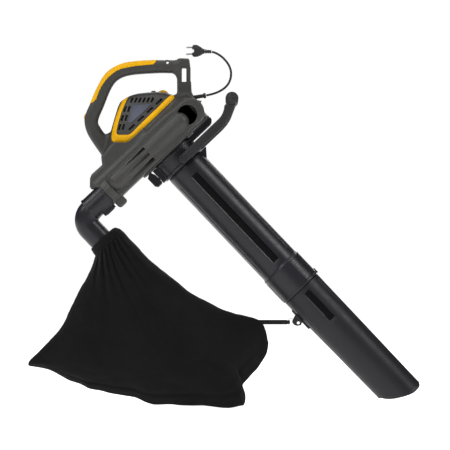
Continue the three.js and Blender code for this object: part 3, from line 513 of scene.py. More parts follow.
def slope(distance, points, reach):
    """The direction in which the distance grows, at each point."""
    out = np.zeros(points.shape)
    for axis in range(3):
        shift = np.zeros(3)
        shift[axis] = reach
        high, low = points + shift, points - shift
        out[:, axis] = (distance(*high.T) - distance(*low.T)) / (2 * reach)
    return out


def add_skin(name, distance, low, high, step, body, slot, nodes=(), material=None):
    """The surface of a distance shape as a piece, with its points drawn onto the surface."""
    low = np.asarray(low, dtype=float)
    points, quads = netted(sampled(distance, low, high, step), low, step)
    for _ in range(2):
        direction = slope(distance, points, 0.25 * step)
        steep = np.maximum((direction ** 2).sum(1), 0.3)
        move = -(distance(*points.T) / steep)[:, None] * direction
        points += np.clip(move, -0.6 * step, 0.6 * step)
    mesh = mesh_from(name, points, quads)
    normals = slope(distance, points, 0.35 * step)
    length = np.maximum(np.linalg.norm(normals, axis=1), 1e-6)[:, None]
    mesh.normals_split_custom_set_from_vertices((normals / length).tolist())
    return add_piece(mesh, name, body, slot, nodes, material)


def add_rings(name, rings, sharp, closed, *piece):
    """Rings of points joined into a piece; sharp is the angle from which an edge stays sharp."""
    mesh = mesh_from(name, np.concatenate(rings), wrapped(len(rings), len(rings[0]), closed))
    if sharp:
        mesh.set_sharp_from_angle(angle=math.radians(sharp))
    return add_piece(mesh, name, *piece)


def turned(count):
    return np.linspace(0, 2 * math.pi, count, endpoint=False)


def side_box(side, x, y, z):
    """The corners of a box whose y range is mirrored to the near side (-1) or the far side."""
    low_y, high_y = sorted((side * y[0], side * y[1]))
    return (x[0], low_y, z[0]), (x[1], high_y, z[1])


def at_machine(shape):
    """A shape written in (a, y, h), h being the height above the tube's axis."""
    def placed(x, y, z):
        a, v = from_upright(x, z)
        return shape(a, y, v - AXIS)
    return placed


def carved_by(body, *tools):
    """Cuts one (distance, fillet) after another."""
    for tool, radius in tools:
        body = carved(body, tool, radius)
    return body


# ---- mains cord and plug
CORD_ROUTE = [
    (136.4, -82.2), (150, -79.2), (165, -74.5), (179, -67.5), (191, -58.5), (199.5, -47.5),
    (204.5, -34.5), (206, -20), (203.8, -7.5), (198.5, 4.5), (190.5, 15.5), (180.5, 25.5),
    (170, 32.8), (160.5, 37.5), (152.2, 39.8),
]
PLUG_X = [97, 99, 103, 112, 121, 128, 135, 151]
PLUG_HALF = [8, 11, 13, 13, 10.5, 7.5, 6.2, 4.6]
PLUG_TALL = [12, 15.5, 17.3, 16.4, 11.8, 7, 5.8, 4.6]
PLUG_MIDDLE = [42.5, 42.6, 42.6, 42.4, 41.6, 41.2, 40.8, 40]


def make_plug():
    """A moulded flat plug with a finger notch and a ribbed neck."""
    def plug(x, y, z):
        half, tall, middle = (
            np.interp(x, PLUG_X, table) for table in (PLUG_HALF, PLUG_TALL, PLUG_MIDDLE)
        )
        power = 2.6
        across = np.abs(y / half) ** power + np.abs((z - middle) / tall) ** power
        body = (across ** (1 / power) - 1) * np.minimum(half, tall)
        body = common(body, slab(x, 97, 151), 1.6)
        for place in (131.5, 136, 140.5, 145):
            rib = np.sqrt((np.abs(z - 40.6) - 4.6) ** 2 + (x - place) ** 2)
            body = carved(body, np.maximum(rib - 1.1, np.abs(y) - 9), 0.5)
        notch = block(x, y, z, (90, -20, 37.5), (102, 20, 47), 1)
        panel = block(x, np.abs(y), z, (105, 12.2, 35), (118, 20, 49), 1.5)
        body = carved_by(body, (notch, 0.8), (panel, 0.6))
        for level in (52.3, 33.3):
            socket = np.sqrt(y ** 2 + (z - level) ** 2) - 2.7
            body = carved(body, np.maximum(socket, x - 100.5))
        return body
    low, high = (95, -15, 22), (153, 15, 62)
    return add_skin("plug", plug, low, high, 0.6, "housing", "cord_rubber", ["plug_body"])


def make_pins():
    """Round plug pins with a bullnose and a sleeve step."""
    profile = [
        (80, 0.01), (80.2, 1.3), (81.2, 2.1), (82.6, 2.4), (91, 2.4), (91.2, 2.3), (99.5, 2.3),
        (99.5, 0.01),
    ]
    angles = turned(24)
    pins = []
    for label, level in (("upper", 52.3), ("lower", 33.3)):
        rings = [
            np.stack([np.full(24, x), r * np.cos(angles), level + r * np.sin(angles)], -1)
            for x, r in profile
        ]
        pins.append(add_rings(
            f"pin_{label}", rings, 40, False, "housing", "pin_nickel", [f"plug_pin_{label}"]
        ))
    return pins


def make_relief():
    """Ribbed rubber sleeve where the cord leaves the post, ending in a flange."""
    start, end = np.array([82, -90.9]), np.array([136, -82.3])
    length = np.linalg.norm(end - start)
    along = (end - start) / length
    up = np.array([-along[1], along[0]])
    profile = [(-2, 0.01), (-2, 6.6), (0, 6.6)]
    for i in range(11):
        at = 2 + i * 4.1
        radius = 6.5 - 1.1 * at / length
        profile += [(at, radius), (at + 2.2, radius - 0.05)]
        profile += [(at + 2.5, radius - 0.9), (at + 3.8, radius - 0.95)]
    profile += [(47.3, 5.3), (47.5, 7.3), (48.2, 7.7), (53.4, 7.3), (54.2, 6.6), (54.3, 3.3)]
    angles = turned(40)
    rings = []
    for at, radius in profile:
        middle = start + along * at
        rings.append(np.stack([
            middle[0] + up[0] * radius * np.sin(angles),
            radius * np.cos(angles),
            middle[1] + up[1] * radius * np.sin(angles),
        ], -1))
    return add_rings(
        "relief", rings, 50, False, "housing", "cord_rubber", ["strain_relief"]
    )


def make_cord(pieces):
    """The short lead as a round curve along its route."""
    line = bpy.data.curves.new("mains_lead", "CURVE")
    line.dimensions = "3D"
    line.bevel_depth = 3.1 * MM
    line.bevel_resolution = 6
    route = curve_points(CORD_ROUTE, 4)
    spline = line.splines.new("POLY")
    spline.points.add(len(route) - 1)
    for point, (x, z) in zip(spline.points, route):
        point.co = (x * MM, 0, z * MM, 1)
    cord = bpy.data.objects.new("mains_lead", line)
    bpy.context.scene.collection.objects.link(cord)
    line.materials.append(MATERIALS["cord_rubber"])
    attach(cord, "housing")
    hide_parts("mains_cord")


make_cord([make_plug(), *make_pins(), make_relief()])


# ---- housing form
# Motor housing: place along a, half width, top and bottom (v) of its cross-section.
MOTOR_A = [2, 5, 10, 20, 34, 50, 70, 90, 112, 130]
MOTOR_HALF = [5, 20, 30, 42, 51, 59, 66, 71, 78, 84]
MOTOR_TOP = [-138, -120, -108, -90, -72, -52, -34, -24, -12, -4]
MOTOR_FOOT = [-146, -156, -164, -182, -206, -232, -268, -296, -306, -310]
MOTOR_SAMPLES = np.linspace(MOTOR_A[0], MOTOR_A[-1], 120)


def smooth_table(values):
    """The values along the motor housing, rounded off between the stations."""
    table = np.interp(MOTOR_SAMPLES, MOTOR_A, values)
    for _ in range(3):
        table[2:-2] = (table[:-4] + table[1:-3] + table[2:-2] + table[3:-1] + table[4:]) / 5
    return table


MOTOR_TABLES = [smooth_table(values) for values in (MOTOR_HALF, MOTOR_TOP, MOTOR_FOOT)]


def motor_form(a, y, v, grow=0.0):
    """The dome over the motor: a squarish oval section that swells towards the fan."""
    half, top, foot = (np.interp(a, MOTOR_SAMPLES, table) for table in MOTOR_TABLES)
    middle = (top + foot) / 2
    half, tall = np.maximum(half + grow, 1), np.maximum((top - foot) / 2 + grow, 1)
    across = np.abs(y / half)
    height = np.abs((v - middle) / tall)
    level = (across ** 2.5 + height ** 2.3) ** (1 / 2.4)
    body = (level - 1) * np.minimum(half, tall)
    return np.maximum(body, np.maximum(MOTOR_A[0] - grow - a, a - MOTOR_A[-1]))


def scroll_outline():
    """The fan scroll in (y, v): widest above, where the air has gathered."""
    points = []
    for i in range(72):
        turn = i / 72
        angle = 2 * math.pi * turn - math.pi / 2
        radius = 104 + 40 * math.sin(math.pi * turn)
        points.append((0.79 * radius * math.cos(angle), AXIS + radius * math.sin(angle)))
    return points


SCROLL = outline(scroll_outline(), 1.0)
SCROLL_BACK, SCROLL_FRONT = 117.0, 199.0
FRAME_FACE = -100.0  # y of the flat face round the outlet duct's bulge
FRAME_A = 161.0  # middle of that face, along a
BULGE_Y, BULGE_RADIUS = -89.0, 27.5

HANDLE_OUTER = [
    (-5, 16), (-60, 13), (-105, 4), (-143, -20), (-168, -60), (-187, -103),
    (-201, -135), (-204, -160), (-192, -197), (-152, -256),
]
HANDLE_INNER = [
    (-137, -188), (-147, -189), (-161, -170), (-166, -152), (-150, -112), (-129, -62),
    (-107, -37), (-70, -25), (0, -20), (36, -20),
]
HANDLE_LOOP = outline(
    curve_points(HANDLE_OUTER) + [(-104, -262), (-100, -196)]
    + curve_points(HANDLE_INNER) + [(60, -22), (70, -22), (70, 16), (0, 16.2)]
)
POST = outline([
    (62, 20.5), (58.5, 18.5), (57.5, 13), (55, 12), (55, -10), (49, -20), (55, -38), (55.5, -78),
    (46, -92), (60, -125), (100, -125), (124, -98), (112, -96), (102, -88), (95.5, -72),
    (94, -45), (91, 4), (89.5, 16), (86, 20.5),
])
SHOULDER = outline([
    (62, -150), (80, -287), (99, -301), (98, -340), (103, -351), (120, -368), (128, -369),
    (150, -340), (150, -150),
])


def handle_form(x, y, z):
    return prism(HANDLE_LOOP(x, z), np.abs(y) - 18, 13)


def duct_frame(a, v):
    """A stadium round the outlet duct, round at the top end."""
    top_end = np.sqrt((a - FRAME_A) ** 2 + np.maximum(v + 24, 0) ** 2) - 38.5
    return np.maximum(top_end, -352 - v)


def dome_form(a, y, v):
    """The motor's dome run into the fan scroll."""
    scroll = prism(SCROLL(y, v), slab(a, SCROLL_BACK, SCROLL_FRONT + 12), 9)
    return joined(motor_form(a, y, v), scroll, 16)


def housing_form(x, y, z):
    """Everything that the two housing shells share, before pockets and holes."""
    a, v = from_upright(x, z)
    body = dome_form(a, y, v)
    face = prism(duct_frame(a, v), slab(y, FRAME_FACE, -30), 7)
    body = joined(body, face, 9)
    body = joined(body, prism(SHOULDER(a, v), slab(y, -94, -48), 9), 8)
    body = joined(body, handle_form(x, y, z), 12)
    body = joined(body, prism(POST(x, z), np.abs(y) - 18, 4.5), 11)
    eye = np.sqrt((x - 28) ** 2 + (z - 9) ** 2)
    body = joined(body, prism(eye - 7.5, np.abs(y) - 14, 2), 3)
    knob = block(a, y, v, (190, -90, -348), (221, -60, -318), 9)
    return joined(body, knob, 3)


def mouth_pocket(a, y, v):
    """The deep round pocket above the bulge, open towards the near side."""
    disc = np.sqrt((a - FRAME_A) ** 2 + (v + 36) ** 2) - BULGE_RADIUS
    return np.maximum(disc, y + 52)


def duct_bulge(a, y, v):
    return capsule(a, y, v, (FRAME_A, BULGE_Y, -66), (FRAME_A, BULGE_Y, -303), BULGE_RADIUS)


def vent_grooves(a, y, v, body):
    """Three grooves sunk in a body's near side, deep above and running out below."""
    depth = 8.0 * np.clip((v + 276) / 88, 0, 1)
    half = 1.6 + 2.8 * np.clip((v + 276) / 88, 0, 1)
    across = np.min([np.abs(a - middle) - half for middle in (147.5, 166.5, 185.5)], axis=0)
    wall = np.maximum(np.abs(v + 231) - 46, -(body + depth))
    return np.maximum(np.maximum(across, wall), y + 60)


TRIM_OUTER = [
    (-97, -95), (-108, -122), (-118, -152), (-125, -180), (-127.5, -200), (-125, -211),
    (-118, -216.5), (-85, -217), (-76, -213), (-60, -200), (0, -143), (41, -101.5),
    (48, -93), (48, -85), (42, -80),
]
TRIM_INNER = [
    (32, -87.5), (0, -121.5), (-40, -160), (-68, -188.5), (-74, -193), (-80, -195),
    (-105, -195), (-110.5, -192), (-112, -186), (-108, -165), (-98, -130), (-84.5, -97),
    (-77, -82),
]
TRIM = outline(TRIM_OUTER + TRIM_INNER, 0.6)
VENT_WINDOW = outline(
    [(32, -87.5), (0, -121.5), (-40, -160), (-68, -188.5), (-80, -195), (-105, -195),
     (-112, -186), (-108, -165), (-98, -130), (-80, -90), (-60, -84), (0, -80), (24, -82)],
    0.6,
)
PAD_EDGE = [
    (-171, -94), (-160, -66), (-144, -41), (-123, -21), (-103, -10), (-70, -2.5), (-40, 0.8),
    (-12, 3.5),
]
PAD = outline(
    curve_points(PAD_EDGE)
    + [(-6, 8), (-1, 17.5), (5, 29), (-60, 32), (-112, 22), (-162, -4), (-192, -55),
       (-206, -112), (-188, -105), (-178, -101)]
)


def housing_distance(x, y, z):
    """The shells as they are moulded, before they are split down the middle."""
    a, v = from_upright(x, z)
    body = housing_form(x, y, z)
    body = carved(body, mouth_pocket(a, y, v), 2.5)
    body = joined(body, duct_bulge(a, y, v), 2)
    body = carved(body, vent_grooves(a, y, v, body), 0.8)
    flange = np.sqrt((a - 166) ** 2 + (y + 75) ** 2)
    body = joined(body, prism(flange - 38, slab(v, -346, -324), 2), 3)
    # hollow for the motor, the fan and the outlet
    body = carved_by(
        body,
        (motor_form(a, y, v, -7), 1),
        (prism(SCROLL(y, v) + 4, slab(a, 121, 215), 4), 1),
        (np.maximum(flange - 25, slab(v, -420, -150)), 1),
        (np.maximum(flange - 34.9, slab(v, -420, -333.8)), 0),
        (np.maximum(SCROLL_FRONT - a, -300 - v), 0),
    )
    # seats for the trim, the grip and the switches
    dome = dome_form(a, y, v)
    outer = 12 - np.abs(y)
    window = VENT_WINDOW(x, z)
    dial = np.maximum(np.sqrt((x - 15) ** 2 + (z + 85) ** 2) - 18.8, np.abs(y) - 4.6)
    return carved_by(
        body,
        (np.maximum(np.maximum(window + 4, outer), -(dome + 20)), 0.8),
        (np.maximum(np.maximum(window - 0.4, outer), -(dome + 3.6)), 0.6),
        (np.maximum(np.maximum(TRIM(x, z) - 0.4, outer), -(dome + 2.6)), 0.6),
        (np.maximum(PAD(x, z) - 0.3, -(handle_form(x, y, z) + 2.0)), 0.5),
        (block(x, y, z, (68, -40, -45), (81, 40, -6), 2), 1.2),
        (block(x, y, z, (82.2, -20, -43.3), (120, 20, -2.7), 1.5), 0.8),
        (block(x, np.abs(y), z, (67.6, 16.4, -6.4), (90, 24, -1.9), 0.8), 0.4),
        (np.sqrt((x - 28) ** 2 + (z - 9) ** 2) - 4, 1.2),
        (block(x, y, z, (-219, -7.4, -158.9), (-178.5, 7.4, -129.1), 2), 0.8),
        (dial, 0.6),
        (capsule(x, y, z, (70, 0, -92.8), (120, 0, -84.9), 6.8), 0.6),
    )


def make_housing(step):
    """The two shells, with a fine parting line between them."""
    for label, side, low, high in (
        ("left", -1, (-210, -118, -402), (158, 3, 26)),
        ("right", 1, (-210, -3, -345), (158, 118, 26)),
    ):
        def half(x, y, z):
            return common(housing_distance(x, y, z), 0.15 - side * y, 0.7)
        add_skin(
            f"housing_{label}", half, low, high, step, "housing", "housing_grey",
            [f"housing_{label}_shell"],
        )


# ---- housing trim
def near_skin(x, y, z, grow):
    """The motor housing's skin, moved out by a distance."""
    a, v = from_upright(x, z)
    return dome_form(a, y, v) - grow


def add_sided(name, shape, side, x, y, z, step, slot, replace=True):
    """A piece on the housing's near side (-1) or far side (1), cut off towards the middle."""
    name = f"{name}_{'left' if side < 0 else 'right'}"
    low, high = side_box(side, x, y, z)
    add_skin(name, shape, low, high, step, "housing", slot, [name] if replace else ())


def make_vent_trim(side, step):
    """The yellow V: a raised moulding whose crest is rounded."""
    def trim(x, y, z):
        outside = TRIM(x, z)
        crest = 0.9 + 2.6 * np.clip(-outside / 6.2, 0, 1)
        body = near_skin(x, y, z, 0) - crest
        shape = common(body, outside + 0.2, 1.0)
        inner = np.maximum(-(near_skin(x, y, z, -2.4)), 13 - side * y)
        return np.maximum(shape, inner)
    add_sided(
        "vent_trim", trim, side, (-132, 53), (12, 96), (-222, -72), step, "accent_yellow"
    )


TOP_SLOTS = [(-73 + 11.4 * i, -105, -67 + 11.4 * i, -91) for i in range(6)]
SIDE_SLOTS = [
    (x0 - 7.5 * i, -131 - 25 * i, x0 + 5 - 7.5 * i, -115 - 25 * i)
    for i in range(3) for x0 in (-91, -80)
]
ARM_SLOTS = [(-2 - 25 * i, -110 - 24 * i, 14 - 25 * i, -95 - 24 * i) for i in range(4)]
VENT_BOX = (-116, 36), (12, 92), (-200, -76)  # x, y and z ranges of the grille
BADGE = outline([(-67, -112.5), (-15, -110), (-41, -136), (-70, -161.5), (-81, -161.5)], 0.5)


def slot_field(x, z):
    """Distance to the nearest vent slot; the ends are square like the moulding's."""
    nearest = np.full(x.shape, 1e3)
    for x0, z0, x1, z1 in TOP_SLOTS + SIDE_SLOTS + ARM_SLOTS:
        length = math.hypot(x1 - x0, z1 - z0)
        ux, uz = (x1 - x0) / length, (z1 - z0) / length
        along = (x - (x0 + x1) / 2) * ux + (z - (z0 + z1) / 2) * uz
        across = (x - (x0 + x1) / 2) * -uz + (z - (z0 + z1) / 2) * ux
        nearest = np.minimum(nearest, np.maximum(np.abs(along) - length / 2, np.abs(across) - 3.0))
    return nearest


def make_vent_grille(side, step):
    """The dark vent panel, a little below the trim, with its slots cut through."""
    def grille(x, y, z):
        face = near_skin(x, y, z, -0.4)
        body = np.maximum(face, -(near_skin(x, y, z, -3.4)))
        body = common(body, VENT_WINDOW(x, z) + 0.2, 0.6)
        body = np.maximum(body, 13 - side * y)
        return carved(body, slot_field(x, z), 0.7)
    add_sided("vent_grille", grille, side, *VENT_BOX, step, "grille_dark")


def make_vent_shade_sheet(side, step):
    """A near-black sheet behind the slots that stands in for the shade inside the housing: painted
    shade.
    """
    def shade_sheet(x, y, z):
        body = np.maximum(near_skin(x, y, z, -5.4), -(near_skin(x, y, z, -7.2)))
        body = common(body, VENT_WINDOW(x, z) + 2.5, 0.4)
        return np.maximum(body, 14 - side * y)
    # painted shade: a near-black carbon sheet, with no part of its own, darkens what shows through the
    # slots
    add_sided("vent_screen", shade_sheet, side, *VENT_BOX, step, "brush_carbon", False)


def make_side_plate(side, step):
    """A plain satin plate with a bevelled edge in the middle of the vents."""
    def plate(x, y, z):
        body = common(near_skin(x, y, z, 1.3), BADGE(x, z), 1.3)
        return np.maximum(body, np.maximum(-(near_skin(x, y, z, -1.5)), 13 - side * y))
    add_sided(
        "side_plate", plate, side, (-86, -10), (12, 92), (-166, -106), step, "plate_blue_grey"
    )


def make_grip_pad(step):
    """The soft strip along the outside of the handle, with crowned edges."""
    def pad(x, y, z):
        loop = handle_form(x, y, z)
        body = common(loop - 1.0, PAD(x, z), 1.0)
        return np.maximum(body, -(loop + 1.8))
    add_skin(
        "grip_pad", pad, (-194, -20, -110), (4, 20, 22), step, "housing", "accent_yellow",
        ["handle_grip_pad"],
    )


def make_post_insert(step):
    """The dark insert of the front post, with finger ribs in front."""
    def insert(x, y, z):
        body = block(x, y, z, (82.5, -17.8, -43), (92.4, 17.8, -3), 1.2)
        strip = block(x, np.abs(y), z, (68, 16.7, -6.1), (88, 18.1, -2.2), 0.5)
        body = np.minimum(body, strip)
        for level in (-12, -21, -30, -36.5):
            rib = block(x, y, z, (91.2, -11, level - 0.7), (96, 11, level + 0.7), 0.3)
            body = carved(body, rib, 0.4)
        return carved(body, block(x, np.abs(y), z, (84, 17, -36.4), (96, 20, -34.8), 0.2), 0.3)
    add_skin(
        "post_insert", insert, (66, -20, -45), (95, 20, -1), step, "housing", "grille_dark",
        ["post_insert"],
    )


def make_rocker(step):
    """Two-ended rocker cap with a shallow thumb dish."""
    def rocker(x, y, z):
        cap = np.sqrt((x + 191.5) ** 2 + (z + 144) ** 2) - 14.2
        body = prism(np.maximum(cap, np.abs(z + 144) - 13.8), np.abs(y) - 6.8, 1.2)
        body = np.maximum(body, x + 191.7)
        dish = capsule(x, y, z, (-213, -10, -151), (-213, 10, -151), 6.4)
        return carved(body, dish, 1.5)
    add_skin(
        "rocker_cap", rocker, (-209, -9, -160), (-188, 9, -128), step, "rocker",
        "accent_yellow", ["power_rocker"],
    )


def make_dial():
    """Thumb wheel with a toothed rim."""
    count = 44
    rows = [
        (-4, 15.2), (-4, 16.6), (-3.2, 17.4), (3.2, 17.4), (4, 16.6), (4, 15.2), (4, 2.3), (-4, 2.3),
    ]
    points, faces = [], []
    for y, radius in rows:
        for i in range(count * 4):
            angle = 2 * math.pi * i / (count * 4)
            tooth = 0.55 if (i % 4 < 2 and radius > 16) else 0.0
            reach = radius + tooth
            points.append((15 + reach * math.cos(angle), y, -85 + reach * math.sin(angle)))
    ring = count * 4
    for row in range(len(rows)):
        following = (row + 1) % len(rows)
        for i in range(ring):
            j = (i + 1) % ring
            faces.append((row * ring + i, row * ring + j, following * ring + j, following * ring + i))
    mesh = mesh_from("dial_wheel", points, faces, smooth=False)
    add_piece(mesh, "dial_wheel", "dial", "accent_yellow", ["speed_dial"])


def make_lock_nub(step):
    """The small dark nub beside the dial."""
    def nub(x, y, z):
        return block(x, y, z, (-17, -7, -80), (-5, 7, -69.4), 1.6)
    add_skin(
        "lock_nub", nub, (-19, -9, -82), (-3, 9, -67), step, "housing", "grille_dark"
    )


# ---- suction tube
def machine_ring(a, y, h):
    """Points given as a, y and the height above the tube's axis, in the upright frame."""
    return np.stack(upright(a, y, h + AXIS), -1)


def between(value, low, high, soft):
    """1 inside a span, falling to 0 over a short slope inside its ends."""
    return np.clip((value - low) / soft, 0, 1) * np.clip((high - value) / soft, 0, 1)


def stations(marks, pitch):
    """Evenly spread values with every mark kept."""
    values = []
    for low, high in zip(marks, marks[1:]):
        count = max(1, round((high - low) / pitch))
        values += [low + (high - low) * i / count for i in range(count)]
    return np.array(values + [marks[-1]])


def side_angles(heights, radius, count=150):
    """Angles round a tube, with a line on each height on both sides."""
    angles = list(np.linspace(-math.pi / 2, 1.5 * math.pi, count, endpoint=False))
    for height in heights:
        at = math.asin(height / radius)
        angles = [t for t in angles if min(abs(t - at), abs(t - math.pi + at)) > 0.006]
        angles += [at, math.pi - at]
    return np.array(sorted(angles))


def tube_rings(rows, angles, shape=None):
    """Rings round the tube's axis. The rows are (a, radius, height of the middle); shape moves
    the outside in or out."""
    rings = []
    for a, radius, lift in rows:
        at = np.full(angles.shape, float(a))
        r = radius + (shape(at, radius * np.sin(angles), radius * np.cos(angles)) if shape else 0)
        rings.append(machine_ring(at, -r * np.cos(angles), lift + r * np.sin(angles)))
    return rings


def line_panels(piece, a_low, a_high, low, high):
    """Gives the sunk panels their own unpolished black."""
    mesh = piece.data
    mesh.materials.append(MATERIALS["panel_black"])
    middles = np.zeros(len(mesh.polygons) * 3)
    mesh.polygons.foreach_get("center", middles)
    x, y, z = (middles.reshape(-1, 3) / MM).T
    a, v = from_upright(x, z)
    h = v - AXIS
    sunk = (a > a_low + 1.2) & (a < a_high - 1.2) & (h > low + 2) & (h < high - 1) & (np.abs(y) > 40)
    outside = np.sqrt(y ** 2 + h ** 2) > 55.4
    mesh.polygons.foreach_set("material_index", (sunk & outside).astype(np.int32))


def panel_shape(a, height, a_low, a_high, low, high, grooves, g_low, g_high):
    """A sunk panel on each side, with a bevelled sill and a fine bead below it, and two grooves."""
    sunk = np.clip((height - low) / 2.2, 0, 1) * np.clip((high - height) / 1.5, 0, 1)
    sunk = sunk * between(a, a_low, a_high, 1.5)
    bead = between(height, low - 1.8, low + 0.2, 0.7) * between(a, a_low - 1, a_high + 1.8, 0.7)
    bead = np.maximum(
        bead, between(height, low - 1.8, high, 0.7) * between(a, a_high - 0.2, a_high + 1.8, 0.7)
    )
    move = 0.6 * bead - 2.9 * sunk
    for middle, half in grooves:
        line = between(height, middle - half, middle + half, 0.5 * half)
        move = move - 0.9 * line * between(a, g_low, g_high, 2)
    return move


def make_upper_tube():
    """The straight tube with its flared socket, its gusset and the button of the joint."""
    heights = [-10.8, -10.1, -9.0, -8.8, -6.8, 11.5, 13, 50, 50.6, 51.4, 52, -52, -51.2, -50, -49.2]
    angles = side_angles(heights, 59.5)
    marks = [253, 255, 290, 292, 293.5, 618, 620, 620.5, 622, 622.7, 623.8, 638]
    outside = [(211, 57.5, 0), (252.5, 57.5, 0), (254.6, 57.6, 0), (255.4, 58.4, 0)]
    outside += [(a, 59.5, 0) for a in stations(marks, 9) if a > 256.5]
    profile = [
        (641, 59.9), (645, 61.6), (646.5, 62.3), (647, 63.2), (649.6, 63.2), (650.2, 62.5),
        (652, 62.5), (653, 62.5), (656, 62.5), (657, 62.5), (680, 62.5), (700, 62.5), (711, 62.5),
        (711.6, 62.5), (717, 62.5), (718, 62.5), (719, 62.5), (721, 62.5), (721.6, 63.2),
        (724.4, 63.2), (725, 62.6), (726.4, 62.4), (727, 61.6),
    ]
    outside += [(a, radius, 0) for a, radius in profile]
    inside = [(727, 58.4, 0), (668, 58, 0), (666, 55, 0), (211, 55, 0)]

    def shape(a, height, near):
        move = panel_shape(
            a, height, 292, 622, -9, 13, ((51, 1), (-50.6, 1.4)), 290, 620,
        )
        facet = between(height, 23, 50, 1.5) * between(a, 651, 719, 1.2)
        move = move + 0.75 * facet * (np.abs(near) > 5)
        under = between(near, -17, 17, 2) * between(a, 655.5, 721, 1.5) * (height < 0)
        move = move + 1.1 * under
        seat = (np.abs(near) < 10.8) * (a > 711.2) * (height > 0)
        return np.where(seat, 59.3 - np.interp(a, *zip(*profile)), move)

    extra = [math.pi / 2 + s * math.asin(w / 62.5) for s in (-1, 1) for w in (10.6, 11.2)]
    angles = np.array(sorted([*angles, *extra]))
    rings = tube_rings(outside, angles, shape) + tube_rings(inside, angles)
    barrel = add_rings(
        "upper_tube_barrel", rings, 38, True, "suction_tube", "tube_black", ["upper_tube"]
    )
    line_panels(barrel, 292, 622, -9, 13)
    gusset = outline([(256, 50), (256, 79.5), (258, 80), (283, 59), (283, 50)], 0.5)

    def rib(a, y, h):
        body = prism(gusset(a, h), np.abs(y) - 4, 1.2)
        return np.maximum(body, 58.6 - np.sqrt(y ** 2 + h ** 2))

    add_skin(
        "tube_gusset", at_machine(rib), (115, -6, -292), (162, 6, -215), 0.8, "suction_tube",
        "tube_black",
    )

    def button(a, y, h):
        body = block(a, y, h, (712, -10, 62.4), (727.5, 10, 66.2), 1.2)
        for place in (715.6, 719, 722.4):
            groove = block(a, y, h, (place, -8, 65.4), (place + 1.2, 8, 70), 0.2)
            body = carved(body, groove, 0.3)
        return body

    add_skin(
        "joint_button_cap", at_machine(button), (430, -12, -590), (462, 12, -562), 0.6,
        "tube_button", "tube_black", ["joint_button"],
    )


MOUTH = [
    (1146, 80), (1146.5, 60), (1151, 54), (1153, 44), (1151, 26), (1144, 8), (1136, -8),
    (1126, -25), (1114, -40), (1100, -54), (1098, -80),
]


def make_lower_tube():
    """The nozzle: it narrows and rises a little, and its mouth is cut back in a curve."""
    heights = [-7.8, -7.1, -6, -5.8, -3.8, 14.5, 16, 51, 51.6, 52.4, 53, -50.4, -49.6, -48.4, -47.6]
    angles = side_angles(heights, 60)
    edge = np.array(curve_points(MOUTH, 4))[::-1]

    def lower_radius(a):
        return 60.5 - 4.0 * (a - 729) / 434

    def lift(a):
        return 3.0 * (a - 729) / 434

    marks = [730.5, 738, 740, 742, 743.5, 836, 838, 845.5, 847, 847.7, 848.8, 1080]
    outside = [(672, 57.5, 0), (727.6, 57.5, 0), (728.6, 59.6, 0), (729.4, 60.4, 0)]
    outside += [(a, lower_radius(a), lift(a)) for a in stations(marks, 9)]
    inside = [(748, 55, 0), (672, 55, 0)]

    def shape(a, height, near):
        return panel_shape(a, height, 742, 847, -6, 16, ((52, 1), (-49, 1.4)), 738, 838)

    rings = tube_rings(outside, angles, shape)
    mouth = [(t, 0) for t in stations([0, 0.5, 0.86, 0.965], 0.1)[1:]]
    mouth += [(0.975, 0.5), (0.99, 0.8), (0.998, 0.4), (1, -0.4), (0.998, -1.6), (0.99, -2.2)]
    mouth += [(0.5, -2.5), (0.0, -2.5)]
    for share, out in mouth:
        height = 58 * np.sin(angles) + 2.5
        end = np.interp(height, edge[:, 1], edge[:, 0])
        at = 1080 + (end - 1080) * share
        r = lower_radius(at) + out
        rings.append(machine_ring(at, -r * np.cos(angles), lift(at) + r * np.sin(angles)))
    rings += tube_rings(inside, angles)
    barrel = add_rings(
        "lower_tube_barrel", rings, 38, True, "nozzle_tube", "tube_black", ["lower_tube"],
        "nozzle_black",
    )
    line_panels(barrel, 742, 847, -6, 16)


def make_strap_bracket():
    """The eye under the nozzle: a rail with a lobe, a hole, and a slot with the ring's pin."""
    rail = outline([
        (755, -58), (755, -60.8), (757, -63.5), (824, -63.5), (826, -60.8), (826, -58),
    ], 0.4)
    lobe = outline([
        (770, -60), (774, -72), (777, -80), (781, -84), (790, -84), (797, -80), (803, -70),
        (800, -67), (799, -60),
    ], 0.4)

    def bracket(a, y, h):
        body = prism(rail(a, h), np.abs(y) - 8, 1)
        body = joined(body, prism(lobe(a, h), np.abs(y) - 8, 1.6), 1.5)
        body = carved_by(
            body,
            (np.sqrt((a - 793) ** 2 + (h + 72) ** 2) - 4.2, 0.8),
            (block(a, y, h, (764, -2, -90), (794, 2, -69), 0.4), 0.4),
        )
        body = np.minimum(body, capsule(a, y, h, (782.8, -5, -79.8), (782.8, 5, -79.8), 2))
        tube = np.sqrt(y ** 2 + (h - 0.5) ** 2) - (60.4 - 4.0 * (a - 729) / 434)
        return np.maximum(body, -tube)

    add_skin(
        "bracket", at_machine(bracket), (360, -10, -745), (430, 10, -680), 0.7, "nozzle_tube",
        "tube_black", ["strap_bracket"],
    )


def make_strap_ring():
    """D-shaped ring of drawn wire, with its welded joint on the straight side."""
    line = [(367.2, t) for t in (7, 3.5, 0, -3.5, -7)]
    line.append((369.2, -9))
    for i in range(13):
        angle = -math.pi / 2 + math.pi * i / 12
        line.append((375.6 + 9.4 * math.cos(angle), 9.4 * math.sin(angle)))
    line.append((369.2, 9))
    path = np.array(curve_points(line, 3, closed=True))
    ahead = np.roll(path, -1, 0) - np.roll(path, 1, 0)
    ahead /= np.linalg.norm(ahead, axis=1)[:, None]
    angles = turned(14)
    rings = []
    for index, ((x, z), (dx, dz)) in enumerate(zip(path, ahead)):
        radius = 1.1 + (0.25 if index in (5, 6) else 0)
        rings.append(np.stack([
            x - dz * radius * np.cos(angles),
            radius * np.sin(angles),
            -717 + z + dx * radius * np.cos(angles),
        ], -1))
    add_rings("ring_wire", rings, None, True, "ring", "fastener_steel", ["strap_ring"])


